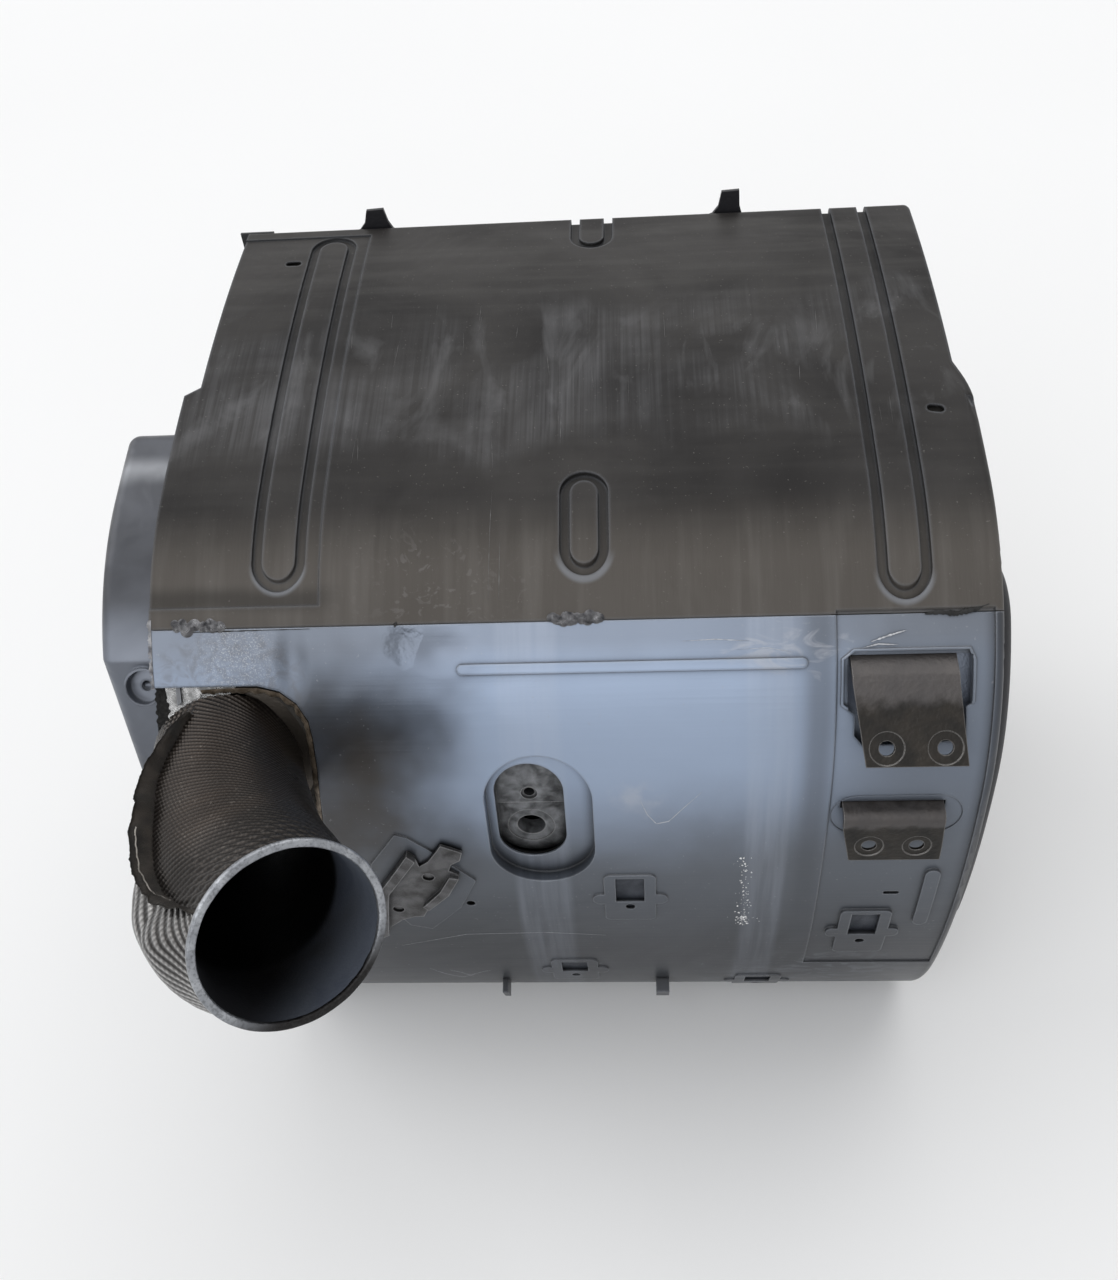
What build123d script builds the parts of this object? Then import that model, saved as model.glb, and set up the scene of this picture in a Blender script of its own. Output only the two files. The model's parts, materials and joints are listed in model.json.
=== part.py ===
"""Exhaust aftertreatment unit: an insulated box of catalysts with one elbow inlet and one rear outlet.

X runs across the unit, -Y is its front and +Z is up. The base rests on Z = 0.
"""
import os
from math import cos, degrees, radians, sin

from build123d import *

os.makedirs("parts", exist_ok=True)

# Driving dimensions of the section, in millimetres and degrees. The skin is a run of
# tangent bends, from the rear edge of the roof forward and down to the base.
REAR_Y = 292.0
REAR_TOP_RADIUS = 8.0
REAR_BOTTOM_RADIUS = 30.0
ROOF = (1530.0, 14.0)
SHOULDER = (258.0, 66.0)
FRONT = (900.0, 19.0)
BELLY = (300.0, 25.0)
TOE = (90.0, 56.0)
SKIN_RUN = (ROOF, SHOULDER, FRONT, BELLY, TOE)
SEAM_TURN = 42.3
SEAM_GAP = 0.15
REAR_FLANGE = 26.0

# Across the unit
HALF_WIDTH = 360.0
REAR_HALF_WIDTH = 346.0
REAR_CORNER = 16.0
END_PLATE_X = 340.0
END_PLATE = 4.0
RIGHT_EDGE_RADIUS = 9.0
RIGHT_LIP = 16.0
LEFT_STEP_Y = (38.0, 28.0)
RIGHT_STEP_Y = (35.0, -5.0)

# Wall thicknesses, and how far in from the skin each layer starts
SHEET = 2.0
BLANKET_INSET = 7.0
CASING_INSET = 15.0
CASING = 2.0
LINED_INSET = CASING_INSET + CASING

# Pressed beads: a groove round a flush centre
BEAD_DEPTH = 5.0
BEAD_WALL = 1.6
BEAD_GROOVE = 9.0
BEADS = {
    "left": (-248.5, -149.0, 249.0, 38.0),
    "right": (279.5, -166.0, 330.0, 36.0),
    "middle": (14.5, -146.0, -98.0, 33.0),
    "rear": (20.0, 250.0, 330.0, 34.0),
}

# Strips of the skin that lie a little lower: middle across, middle along, width and height
STRIP_SINK = 1.5
STRIPS = ((-286.0, 244.5, 148.0, 465.0), (286.5, 689.0, 129.0, 528.0))

# Inlet elbow
INLET_ROOT = Vector(-303.0, -262.0, 503.0)
INLET_CORNER = Vector(-283.1, -359.3, 519.4)
INLET_MOUTH = Vector(-185.6, -484.3, 593.6)
INLET_BEND = 370.0
INLET_TAIL = 60.0
PIPE_OUTER = 62.0
PIPE_WALL = 1.5
FLANGE_RADIUS = 71.0
FLANGE_BORE = 60.0
FLANGE_SEAT = 2.3
FLANGE_LENGTH = 14.0
SHIELD_ROOT = 65.0
SHIELD_MIDDLE = 78.0
SHIELD_MOUTH = 68.0
SHIELD_SHEET = 1.2
SHIELD_RIB = 14.0
COLLAR_RADIUS = 75.0

# Catalysts: (y, z) of each can's axis, and radii
FILTER_AXIS = (-64.0, 500.0)
FILTER_CAN = 140.0
MIXER_AXIS = (171.0, 500.0)
MIXER_RADIUS = 65.0
SCR_AXES = {"front": (-122.0, 180.0), "rear": (142.0, 172.0)}
SCR_CAN = 128.0
CAN_WALL = 1.5
MAT = 5.5
BAFFLE = 3.0
LEFT_BAFFLE_X = -222.0
RIGHT_BAFFLE_X = 197.0
CAN_LEFT = -232.0
CAN_RIGHT = 205.0
DIVIDER_Z = 345.0
DIVIDER_Y = 92.0

# Outlet: its neck, through the walls, is a little thinner than the pipe outside
OUTLET_AT = (270.0, 215.0)
OUTLET_RADIUS = 62.0
OUTLET_NECK = 61.0
OUTLET_BORE = 59.5
OUTLET_FROM = 267.0
OUTLET_STEP = 294.0
OUTLET_END = 352.0

# Openings and pressings of the front cover. Most are given by the place across (x) and the
# travel round the skin of their middle, then by width and height.
INLET_CUT = (
    (-362, 551), (-268, 551), (-249, 556), (-235, 567), (-226, 583), (-223.8, 600), (-223.8, 630),
    (-229, 690), (-234, 770), (-362, 770),
)
INLET_CUT_AT = (-295.0, 600.0)
PORT = (-33.0, 701.0, 100.0, 164.0)
PORT_DEPTH = 12.0
PORT_INNER = (-42.0, 697.0, 62.0, 118.0)
PORT_RIM = 9.0
LONG_BEAD = (51.5, 540.0, 293.0, 9.0)
SHORT_RIB = (324.0, 816.0, 14.0, 94.0)
SMALL_SLOT = (290.5, 808.0, 5.0, 15.0)
SMALL_HOLE = (-108.6, 818.2, 4.4)
UPPER_CUT = (
    (226, 538), (236, 530), (331, 530), (335.5, 540), (335.5, 577), (329, 581), (331, 612),
    (246, 616), (238, 606), (238, 587), (226, 578),
)
UPPER_CUT_AT = (282.0, 573.0)
UPPER_PASSAGE = (282.5, 576.0, 101.0, 80.0)
LOWER_CUT = (281.0, 693.0, 114.0, 46.0)
CUT_FLANGE = 6.0

# Windows with a raised tab round each and a small hole below: x, travel, height, drop to the hole
WINDOWS = {
    "a": (45.5, 796.0, 38.0, 28.0),
    "b": (271.5, 862.5, 41.0, 34.5),
    "c": (-15.5, 963.0, 28.0, 26.0),
    "d": (179.0, 1015.5, 29.0, 29.5),
}
WINDOW_WIDTH = 27.0
WINDOW_MARGIN = 11.0
WINDOW_HOLE = 4.5
TAB_LIFT = 1.6

# Corner clip bracket on its raised pad, as (x, travel) points
CLIP_AT = (-150.0, 789.0)
PAD = (
    (-195, 750), (-167, 709), (-156, 713), (-138, 730), (-99, 777), (-118, 822), (-152, 864),
    (-173, 856), (-198, 800),
)
PAD_LIFT = 2.0
CLIP_PLATE = (
    (-132, 731), (-126, 721), (-107, 731), (-110, 742), (-119, 748), (-122, 757), (-113, 764), (-126, 791),
    (-148, 816), (-156, 834), (-165, 834), (-178, 840), (-190, 852), (-202, 869), (-191, 784), (-158, 730),
    (-151, 738), (-149, 750), (-140, 743),
)
CLIP_RIBS = (
    ((-158, 730), (-151, 738), (-183, 789), (-195, 864), (-202, 869), (-191, 784)),
    ((-113, 764), (-126, 791), (-148, 816), (-153, 810), (-134, 786), (-122, 762)),
)
CLIP_HOLES = ((-142.5, 766.3, 5.5), (-178.9, 819.5, 5.5))
CLIP_SHEET = 3.0
CLIP_RIB = 4.5


def section_height():
    """Rise of the run of bends, which sets the height of the unit."""
    rise, angle = 0.0, 0.0
    for radius, turn in SKIN_RUN:
        rise += radius * (cos(radians(angle)) - cos(radians(angle + turn)))
        angle += turn
    return rise


def section_reach():
    """How far forward of the roof's rear edge the run of bends ends."""
    reach, angle = 0.0, 0.0
    for radius, turn in SKIN_RUN:
        reach += radius * (sin(radians(angle + turn)) - sin(radians(angle)))
        angle += turn
    return reach


HEIGHT = section_height()
ROOF_START = REAR_Y - REAR_TOP_RADIUS
BASE_START = ROOF_START - section_reach()


def skin_point(travel, lift=0.0):
    """Point (y, z) on the skin and its slope, after a travel round it from the roof's rear edge."""
    y, z, angle = ROOF_START, HEIGHT, 0.0
    for radius, turn in SKIN_RUN:
        part = min(turn, degrees(travel / radius))
        start, end = radians(angle), radians(angle + part)
        y -= radius * (sin(end) - sin(start))
        z -= radius * (cos(start) - cos(end))
        angle += part
        travel -= radius * radians(part)
        if travel <= 0:
            break
    return y - lift * sin(radians(angle)), z + lift * cos(radians(angle)), angle


def skin_plane(x, travel, lift=0.0):
    """Plane on the skin: its x runs across the unit, its y up the skin, its z outward."""
    y, z, angle = skin_point(travel, lift)
    outward = (0, -sin(radians(angle)), cos(radians(angle)))
    return Plane(origin=(x, y, z), x_dir=(1, 0, 0), z_dir=outward)


def shoulder_centre():
    """Centre (y, z) of the shoulder bend."""
    y, z, angle = skin_point(ROOF[0] * radians(ROOF[1]))
    return y + SHOULDER[0] * sin(radians(angle)), z - SHOULDER[0] * cos(radians(angle))


def outline(inset=0.0, x=0.0):
    """Closed section of the unit in the YZ plane, drawn in from the skin by the inset."""
    with BuildSketch(Plane.YZ.offset(x)) as sketch:
        with BuildLine():
            rear = Line((REAR_Y, REAR_BOTTOM_RADIUS), (REAR_Y, HEIGHT - REAR_TOP_RADIUS))
            last = JernArc(rear @ 1, rear % 1, REAR_TOP_RADIUS, 90)
            for radius, turn in SKIN_RUN:
                last = JernArc(last @ 1, last % 1, radius, turn)
            base = Line(last @ 1, (REAR_Y - REAR_BOTTOM_RADIUS, 0))
            RadiusArc(base @ 1, rear @ 0, -REAR_BOTTOM_RADIUS)
        make_face()
        if inset:
            offset(amount=-inset, kind=Kind.INTERSECTION, mode=Mode.REPLACE)
    return sketch.sketch


def prism(inset, x_from, x_to):
    """The section, drawn in by the inset, between two planes across the unit."""
    with BuildPart() as solid:
        extrude(outline(inset, x_from), amount=x_to - x_from, dir=(1, 0, 0))
    return solid.part


def layer(outer, inner, x_from, x_to):
    """A closed layer of the wall, between two insets."""
    with BuildPart() as wall:
        add(prism(outer, x_from, x_to))
        add(prism(inner, x_from, x_to), mode=Mode.SUBTRACT)
    return wall.part


def flat_polygon(points, at):
    """Face over (x, travel) points, drawn on the skin plane at one place."""
    with BuildSketch() as face:
        with BuildLine():
            Polyline(*[(x - at[0], at[1] - travel) for x, travel in points], close=True)
        make_face()
    return face.sketch


def through(face, x, travel, depth):
    """Bar over a face, square to the skin at one place, reaching the depth to both sides."""
    with BuildPart() as bar:
        with BuildSketch(skin_plane(x, travel)):
            add(face)
        extrude(amount=depth, both=True)
    return bar.part


def slot_face(width, height):
    """Slot with its length upright or across, whichever is longer."""
    with BuildSketch() as face:
        if height > width:
            SlotOverall(height, width, rotation=90)
        else:
            SlotOverall(width, height)
    return face.sketch


def block_face(width, height, corner=0.0):
    """Rectangle, with rounded corners where a radius is given."""
    with BuildSketch() as face:
        if corner:
            RectangleRounded(width, height, corner)
        else:
            Rectangle(width, height)
    return face.sketch


def round_face(radius):
    """Full circle."""
    with BuildSketch() as face:
        Circle(radius)
    return face.sketch


def shrunk(shape, amount):
    """The face drawn in by an amount, with its corners kept."""
    with BuildSketch() as face:
        add(shape)
        offset(amount=-amount, kind=Kind.INTERSECTION, mode=Mode.REPLACE)
    return face.sketch


def in_layer(face, x, travel, outer, inner):
    """The stretch of a wall layer that lies under a face."""
    with BuildPart() as piece:
        add(through(face, x, travel, 60))
        add(layer(outer, inner, -HALF_WIDTH, HALF_WIDTH), mode=Mode.INTERSECT)
    return piece.part


def side_waste(side, step, corner):
    """Plan of what is cut off beside the narrower rear of the unit, on one side."""
    with BuildSketch(Plane.XY) as waste:
        with BuildLine():
            Polyline(
                (side * REAR_HALF_WIDTH, 400), (side * REAR_HALF_WIDTH, step[0]),
                (side * HALF_WIDTH, step[1]), (side * (HALF_WIDTH + 10), step[1]),
                (side * (HALF_WIDTH + 10), 400), close=True,
            )
        make_face()
        if corner:
            middle = (side * (REAR_HALF_WIDTH - corner), REAR_Y - corner)
            with Locations((side * (REAR_HALF_WIDTH - corner / 2), REAR_Y - corner / 2)):
                Rectangle(corner, corner)
            with Locations(middle):
                Circle(corner, mode=Mode.SUBTRACT)
    return waste.sketch


def side_waste_bar(side, step, corner):
    """Full-height bar over the waste beside the rear of the unit."""
    with BuildPart() as bar:
        extrude(side_waste(side, step, corner), amount=2 * HEIGHT, dir=(0, 0, 1), both=True)
    return bar.part


LEFT_WASTE = side_waste_bar(-1, LEFT_STEP_Y, 0)
RIGHT_WASTE = side_waste_bar(1, RIGHT_STEP_Y, REAR_CORNER)


def strip_waste(inset):
    """What the sunk strips take away from whatever lies under the skin, down to the inset."""
    with BuildPart() as waste:
        for x, travel, width, height in STRIPS:
            add(in_layer(block_face(width, height), x, travel, -1, inset))
    return waste.part


def skin_shell():
    """The whole outer skin: open at the left, rolled over at the right, narrower at the rear."""
    with BuildPart() as shell:
        add(prism(0, -HALF_WIDTH, HALF_WIDTH))
        fillet(shell.faces().sort_by(Axis.X)[-1].edges(), RIGHT_EDGE_RADIUS)
        with BuildPart(mode=Mode.PRIVATE) as inner:
            add(prism(SHEET, -HALF_WIDTH, HALF_WIDTH - SHEET))
            fillet(inner.faces().sort_by(Axis.X)[-1].edges(), RIGHT_EDGE_RADIUS - SHEET)
        add(inner.part, mode=Mode.SUBTRACT)
        add(prism(RIGHT_LIP, 0, HALF_WIDTH), mode=Mode.SUBTRACT)
        for x, travel, width, height in STRIPS:
            strip = block_face(width, height)
            add(in_layer(strip, x, travel, SHEET, SHEET + STRIP_SINK))
            add(in_layer(strip, x, travel, -1, STRIP_SINK), mode=Mode.SUBTRACT)
        add(LEFT_WASTE, mode=Mode.SUBTRACT)
        add(RIGHT_WASTE, mode=Mode.SUBTRACT)
    return shell.part


SKIN = skin_shell()


def sector(*points):
    """A wide prism over a polygon of (y, z) points, to keep one stretch of a section."""
    with BuildPart() as solid:
        with BuildSketch(Plane.YZ.offset(-2 * HALF_WIDTH)):
            with BuildLine():
                Polyline(*points, close=True)
            make_face()
        extrude(amount=4 * HALF_WIDTH)
    return solid.part


def seam_ray(turn):
    """Far point on the ray from the shoulder's centre through the skin at the given slope."""
    y, z = shoulder_centre()
    return y - 900 * sin(radians(turn)), z + 900 * cos(radians(turn))


ROOF_SECTOR = sector(
    shoulder_centre(), seam_ray(SEAM_TURN - SEAM_GAP), (-700, 1200), (400, 1200), (400, HEIGHT - REAR_FLANGE),
    (200, HEIGHT - REAR_FLANGE),
)
FRONT_SECTOR = sector(
    shoulder_centre(), seam_ray(SEAM_TURN), (-900, 900), (-900, -100), (BASE_START, -100), (BASE_START, 60)
)
BASE_SECTOR = sector(
    (BASE_START + 0.3, -100), (400, -100), (400, HEIGHT - REAR_FLANGE - 0.3),
    (200, HEIGHT - REAR_FLANGE - 0.3), (100, 300), (BASE_START + 0.3, 60),
)


def inlet_path(tail):
    """Centre line of the elbow, starting the tail's length inside the root."""
    inward = (INLET_ROOT - INLET_CORNER).normalized()
    return FilletPolyline(INLET_ROOT + inward * tail, INLET_CORNER, INLET_MOUTH, radius=INLET_BEND)


def inlet_core(radius, tail=INLET_TAIL):
    """Solid round bar along the elbow's centre line."""
    with BuildPart() as bar:
        with BuildLine():
            path = inlet_path(tail)
        with BuildSketch(Plane(origin=path @ 0, z_dir=path % 0)):
            Circle(radius)
        sweep(path=path)
    return bar.part


def shield_radius(share):
    """The shield swells in the middle of the bend."""
    return (
        SHIELD_ROOT * (1 - share) * (1 - 2 * share)
        + SHIELD_MIDDLE * 4 * share * (1 - share)
        + SHIELD_MOUTH * share * (2 * share - 1)
    )


def swollen_bar(extra):
    """Solid with the shield's outer form, enlarged by the extra radius and cut at the skin."""
    stations = 7
    with BuildPart() as bar:
        with BuildLine():
            path = inlet_path(INLET_TAIL)
        end = 1 - FLANGE_LENGTH / path.length
        start = INLET_TAIL / path.length
        for index in range(stations):
            share = index / (stations - 1) * end
            radius = shield_radius(max(0.0, (share - start) / (end - start))) + extra
            with BuildSketch(Plane(origin=path @ share, z_dir=path % share)):
                Circle(radius)
        loft()
        add(prism(-1, -2 * HALF_WIDTH, 2 * HALF_WIDTH), mode=Mode.SUBTRACT)
    return bar.part


def split_plane():
    """Plane between the shield's halves, holding the elbow's chord and the rib's direction."""
    chord = (INLET_MOUTH - INLET_ROOT).normalized()
    lead = (INLET_CORNER - INLET_ROOT).normalized()
    rib = lead.cross(chord).normalized()
    bulge = chord.cross(rib).normalized()
    middle = (INLET_MOUTH + INLET_ROOT) * 0.5 - bulge * 7
    return Plane(origin=middle, x_dir=chord, z_dir=bulge), rib


def bead_plan(x, front, rear, pitch, groove):
    """Plan of one bead's groove: a ring between two slots."""
    with BuildSketch(Plane.XY) as plan:
        with Locations((x, (front + rear) / 2)):
            SlotCenterToCenter(rear - front, pitch + groove, rotation=90)
            SlotCenterToCenter(rear - front, pitch - groove, rotation=90, mode=Mode.SUBTRACT)
    return plan.sketch


def pressed(plan, outer, inner):
    """The part of a wall layer that lies under a plan, above the height of the belly."""
    with BuildPart() as piece:
        add(layer(outer, inner, -HALF_WIDTH, HALF_WIDTH - RIGHT_EDGE_RADIUS))
        with BuildPart(mode=Mode.PRIVATE) as column:
            extrude(plan, amount=2 * HEIGHT, dir=(0, 0, 1))
            split(bisect_by=Plane.XY.offset(HEIGHT / 2), keep=Keep.TOP)
        add(column.part, mode=Mode.INTERSECT)
    return piece.part


# Top cover
with BuildPart() as top_cover:
    add(SKIN)
    for x, front, rear, pitch in BEADS.values():
        walls = bead_plan(x, front, rear, pitch, BEAD_GROOVE + 2 * BEAD_WALL)
        add(pressed(walls, SHEET, BEAD_DEPTH + BEAD_WALL))
    for x, front, rear, pitch in BEADS.values():
        add(pressed(bead_plan(x, front, rear, pitch, BEAD_GROOVE), -1, BEAD_DEPTH), mode=Mode.SUBTRACT)
    add(ROOF_SECTOR, mode=Mode.INTERSECT)
    with BuildSketch(Plane.XY.offset(HEIGHT / 2)):
        with Locations((-287, 225)):
            SlotOverall(16, 8)
        with Locations((323, -20)):
            SlotOverall(15, 8, rotation=-10)
    extrude(amount=HEIGHT, mode=Mode.SUBTRACT)
top_cover.part.label = "top_cover"
export_step(top_cover.part, "parts/top_cover.step")


def window_tab(window):
    """Raised tab round a window and its hole, with wings at the window's foot."""
    x, travel, height, drop = window
    tab = block_face(WINDOW_WIDTH + 2 * WINDOW_MARGIN, height + drop + WINDOW_MARGIN, 6)
    wings = block_face(WINDOW_WIDTH + 4 * WINDOW_MARGIN, 16, 7)
    with BuildPart() as piece:
        add(in_layer(tab, x, travel + drop / 2, -TAB_LIFT, SHEET))
        add(in_layer(wings, x, travel + height / 2 - 4, -TAB_LIFT, SHEET))
    return piece.part


# Front cover
with BuildPart() as front_cover:
    add(SKIN)
    x, travel, width, height = LONG_BEAD
    add(in_layer(slot_face(width, height), x, travel, -3, 0))
    x, travel, width, height = SHORT_RIB
    add(in_layer(slot_face(width, height), x, travel, -TAB_LIFT, SHEET))
    add(in_layer(flat_polygon(PAD, CLIP_AT), *CLIP_AT, -PAD_LIFT, 0))
    for window in WINDOWS.values():
        add(window_tab(window))
    add(FRONT_SECTOR, mode=Mode.INTERSECT)

    add(through(flat_polygon(INLET_CUT, INLET_CUT_AT), *INLET_CUT_AT, 60), mode=Mode.SUBTRACT)
    add(inlet_core(SHIELD_ROOT + 1), mode=Mode.SUBTRACT)

    x, travel, width, height = PORT
    add(in_layer(slot_face(width, height), x, travel, 0, PORT_DEPTH + SHEET))
    well = slot_face(width - 2 * SHEET, height - 2 * SHEET)
    add(in_layer(well, x, travel, -PORT_RIM, PORT_DEPTH), mode=Mode.SUBTRACT)
    x, travel, width, height = PORT_INNER
    add(through(slot_face(width, height), x, travel, 40), mode=Mode.SUBTRACT)

    for x, travel, height, drop in WINDOWS.values():
        add(through(block_face(WINDOW_WIDTH, height), x, travel, 10), mode=Mode.SUBTRACT)
        add(through(round_face(WINDOW_HOLE), x, travel + drop, 10), mode=Mode.SUBTRACT)
    x, travel, width, height = SMALL_SLOT
    add(through(slot_face(height, width), x, travel, 10), mode=Mode.SUBTRACT)
    x, travel, radius = SMALL_HOLE
    add(through(round_face(radius), x, travel, 10), mode=Mode.SUBTRACT)

    upper = flat_polygon(UPPER_CUT, UPPER_CUT_AT)
    x, travel, width, height = UPPER_PASSAGE
    add(through(upper, *UPPER_CUT_AT, 14), mode=Mode.SUBTRACT)
    with BuildPart(mode=Mode.PRIVATE) as rim:
        add(in_layer(upper, *UPPER_CUT_AT, 0, CUT_FLANGE))
        add(in_layer(shrunk(upper, SHEET), *UPPER_CUT_AT, -1, CUT_FLANGE - SHEET), mode=Mode.SUBTRACT)
        add(through(block_face(width, height), x, travel, 30), mode=Mode.SUBTRACT)
    add(rim.part)
    x, travel, width, height = LOWER_CUT
    add(through(slot_face(width, height), x, travel, 14), mode=Mode.SUBTRACT)
front_cover.part.label = "front_cover"
export_step(front_cover.part, "parts/front_cover.step")


def outlet_bar(radius, y_from, y_to):
    """Round bar along the outlet's axis."""
    with BuildPart() as bar:
        with BuildSketch(Plane.XZ.offset(-y_to)):
            with Locations(OUTLET_AT):
                Circle(radius)
        extrude(amount=y_to - y_from)
    return bar.part


# Base tray: floor and rear wall, folded from one sheet
with BuildPart() as base_tray:
    add(SKIN)
    add(BASE_SECTOR, mode=Mode.INTERSECT)
    add(outlet_bar(OUTLET_NECK, OUTLET_FROM, OUTLET_END), mode=Mode.SUBTRACT)
base_tray.part.label = "base_tray"
export_step(base_tray.part, "parts/base_tray.step")

# Seam strip behind the joint between the top and front covers
SEAM_STRIP_X = (-330.0, 218.0)
with BuildPart() as seam_strip:
    add(layer(SHEET, 2 * SHEET, *SEAM_STRIP_X))
    add(sector(shoulder_centre(), seam_ray(SEAM_TURN - 1), seam_ray(SEAM_TURN + 4)), mode=Mode.INTERSECT)
seam_strip.part.label = "seam_strip"
export_step(seam_strip.part, "parts/seam_strip.step")


def bar_x(axis, radius, x_from, x_to):
    """Round bar across the unit."""
    with BuildPart() as bar:
        with BuildSketch(Plane.YZ.offset(x_from)):
            with Locations(axis):
                Circle(radius)
        extrude(amount=x_to - x_from)
    return bar.part


def tube_x(axis, outer, inner, x_from, x_to):
    """Round tube across the unit."""
    with BuildPart() as tube:
        add(bar_x(axis, outer, x_from, x_to))
        add(bar_x(axis, inner, x_from, x_to), mode=Mode.SUBTRACT)
    return tube.part


def cap_section(inset, x, trim):
    """Section of an end cap: the forward part of the unit's section, with rounded free corners."""
    rear, low, corner, front_low, front_high = trim
    with BuildSketch() as face:
        with BuildLine():
            Polyline((front_low, low), (rear, low), (rear, 900), (front_high, 900), close=True)
        make_face()
        add(Plane.YZ.to_local_coords(outline(inset)), mode=Mode.INTERSECT)
        if corner:
            fillet(face.vertices().filter_by(lambda v: v.Y < low + 1 or v.X > rear - 1), corner)
    return Plane.YZ.offset(x) * face.sketch


def dish(inset, root_x, face_x, trim, edge):
    """Hollow dished cap, open towards the unit."""
    way = 1 if face_x > root_x else -1
    with BuildPart() as cap:
        extrude(cap_section(inset, root_x, trim), amount=abs(face_x - root_x), dir=(way, 0, 0))
        rim = cap.faces().sort_by(Axis.X)[-1 if way > 0 else 0]
        fillet(rim.edges(), edge)
        offset(amount=-SHEET, openings=cap.faces().sort_by(Axis.X)[0 if way > 0 else -1])
    return cap.part


# End caps: deep dish on the left, which is the inlet chamber, and a shallow one on the right.
# Each is given by its inset and its limits: rearmost y, lowest z, the radius of the free
# corners, and the foremost y at the lowest z and at a height of 900.
LEFT_CAP = (6.0, (-4.0, 300.0, 14.0, -264.0, -152.0))
RIGHT_CAP = (17.0, (-90.0, 200.0, 60.0, -600.0, -600.0))
OPENING_MARGIN = 22.0
LEFT_CAP_X = -408.0
RIGHT_CAP_X = 372.0
LEFT_CAP_EDGE = 12.0
RIGHT_CAP_EDGE = 14.0
CAP_CUP_AT = (-370.5, 551.4)
CAP_CUP = 15.0
CAP_CUP_DEPTH = 9.0
CAP_SCREW = 4.5

with BuildPart() as left_end_cap:
    add(dish(LEFT_CAP[0], -END_PLATE_X, LEFT_CAP_X, LEFT_CAP[1], LEFT_CAP_EDGE))
    cup = skin_plane(*CAP_CUP_AT, -LEFT_CAP[0])
    with BuildSketch(cup):
        Circle(CAP_CUP + SHEET)
    extrude(amount=-CAP_CUP_DEPTH - SHEET)
    with BuildSketch(cup.offset(-CAP_CUP_DEPTH)):
        Circle(CAP_CUP)
    extrude(amount=2 * CAP_CUP_DEPTH, mode=Mode.SUBTRACT)
    with BuildSketch(cup):
        Circle(CAP_SCREW)
    extrude(amount=-CAP_CUP_DEPTH - 2 * SHEET, mode=Mode.SUBTRACT)
    add(inlet_core(PIPE_OUTER), mode=Mode.SUBTRACT)
left_end_cap.part.label = "left_end_cap"
export_step(left_end_cap.part, "parts/left_end_cap.step")

with BuildPart() as right_end_cap:
    add(dish(RIGHT_CAP[0], END_PLATE_X, RIGHT_CAP_X, RIGHT_CAP[1], RIGHT_CAP_EDGE))
right_end_cap.part.label = "right_end_cap"
export_step(right_end_cap.part, "parts/right_end_cap.step")

# End plates
with BuildPart() as left_end_plate:
    add(prism(SHEET, -END_PLATE_X, -END_PLATE_X + END_PLATE))
    add(strip_waste(SHEET + STRIP_SINK), mode=Mode.SUBTRACT)
    inset, (rear, low, corner, front_low, front_high) = LEFT_CAP
    margin = OPENING_MARGIN
    limits = (rear - margin, low + margin, 0, front_low + margin, front_high + margin)
    opening = cap_section(inset + margin, -END_PLATE_X - 1, limits)
    extrude(opening, amount=20, dir=(1, 0, 0), mode=Mode.SUBTRACT)
    add(inlet_core(PIPE_OUTER), mode=Mode.SUBTRACT)
left_end_plate.part.label = "left_end_plate"
export_step(left_end_plate.part, "parts/left_end_plate.step")

with BuildPart() as right_end_plate:
    add(prism(SHEET, END_PLATE_X - END_PLATE, END_PLATE_X))
    add(strip_waste(SHEET + STRIP_SINK), mode=Mode.SUBTRACT)
    add(RIGHT_WASTE, mode=Mode.SUBTRACT)
right_end_plate.part.label = "right_end_plate"
export_step(right_end_plate.part, "parts/right_end_plate.step")

# Gas-tight casing, and the blanket of insulation round it, with pockets behind the brackets
UPPER_POCKET = (282.0, 562.0, 114.0, 116.0)
LOWER_POCKET = (281.0, 681.0, 116.0, 74.0)
NUT_WIDTH = 18.0
NUT_HEIGHT = 16.0
CASING_X = END_PLATE_X - END_PLATE
with BuildPart() as inner_casing:
    add(layer(CASING_INSET, LINED_INSET, -CASING_X, CASING_X))
    add(inlet_core(PIPE_OUTER), mode=Mode.SUBTRACT)
    x, travel, width, height = PORT_INNER
    add(through(slot_face(width, height), x, travel, 40), mode=Mode.SUBTRACT)
    add(outlet_bar(OUTLET_NECK, OUTLET_FROM, OUTLET_END), mode=Mode.SUBTRACT)
inner_casing.part.label = "inner_casing"
export_step(inner_casing.part, "parts/inner_casing.step")

with BuildPart() as insulation_blanket:
    add(layer(BLANKET_INSET, CASING_INSET, -CASING_X, CASING_X))
    add(inlet_core(COLLAR_RADIUS), mode=Mode.SUBTRACT)
    x, travel, width, height = PORT
    add(through(slot_face(width, height), x, travel, 40), mode=Mode.SUBTRACT)
    for x, travel, width, height in (UPPER_POCKET, LOWER_POCKET):
        add(through(block_face(width, height), x, travel, 34), mode=Mode.SUBTRACT)
    for x, travel, height, drop in WINDOWS.values():
        add(through(block_face(NUT_WIDTH + 2, NUT_HEIGHT + 4), x, travel + drop, 24), mode=Mode.SUBTRACT)
    add(outlet_bar(OUTLET_NECK, OUTLET_FROM, OUTLET_END), mode=Mode.SUBTRACT)
insulation_blanket.part.label = "insulation_blanket"
export_step(insulation_blanket.part, "parts/insulation_blanket.step")

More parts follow.
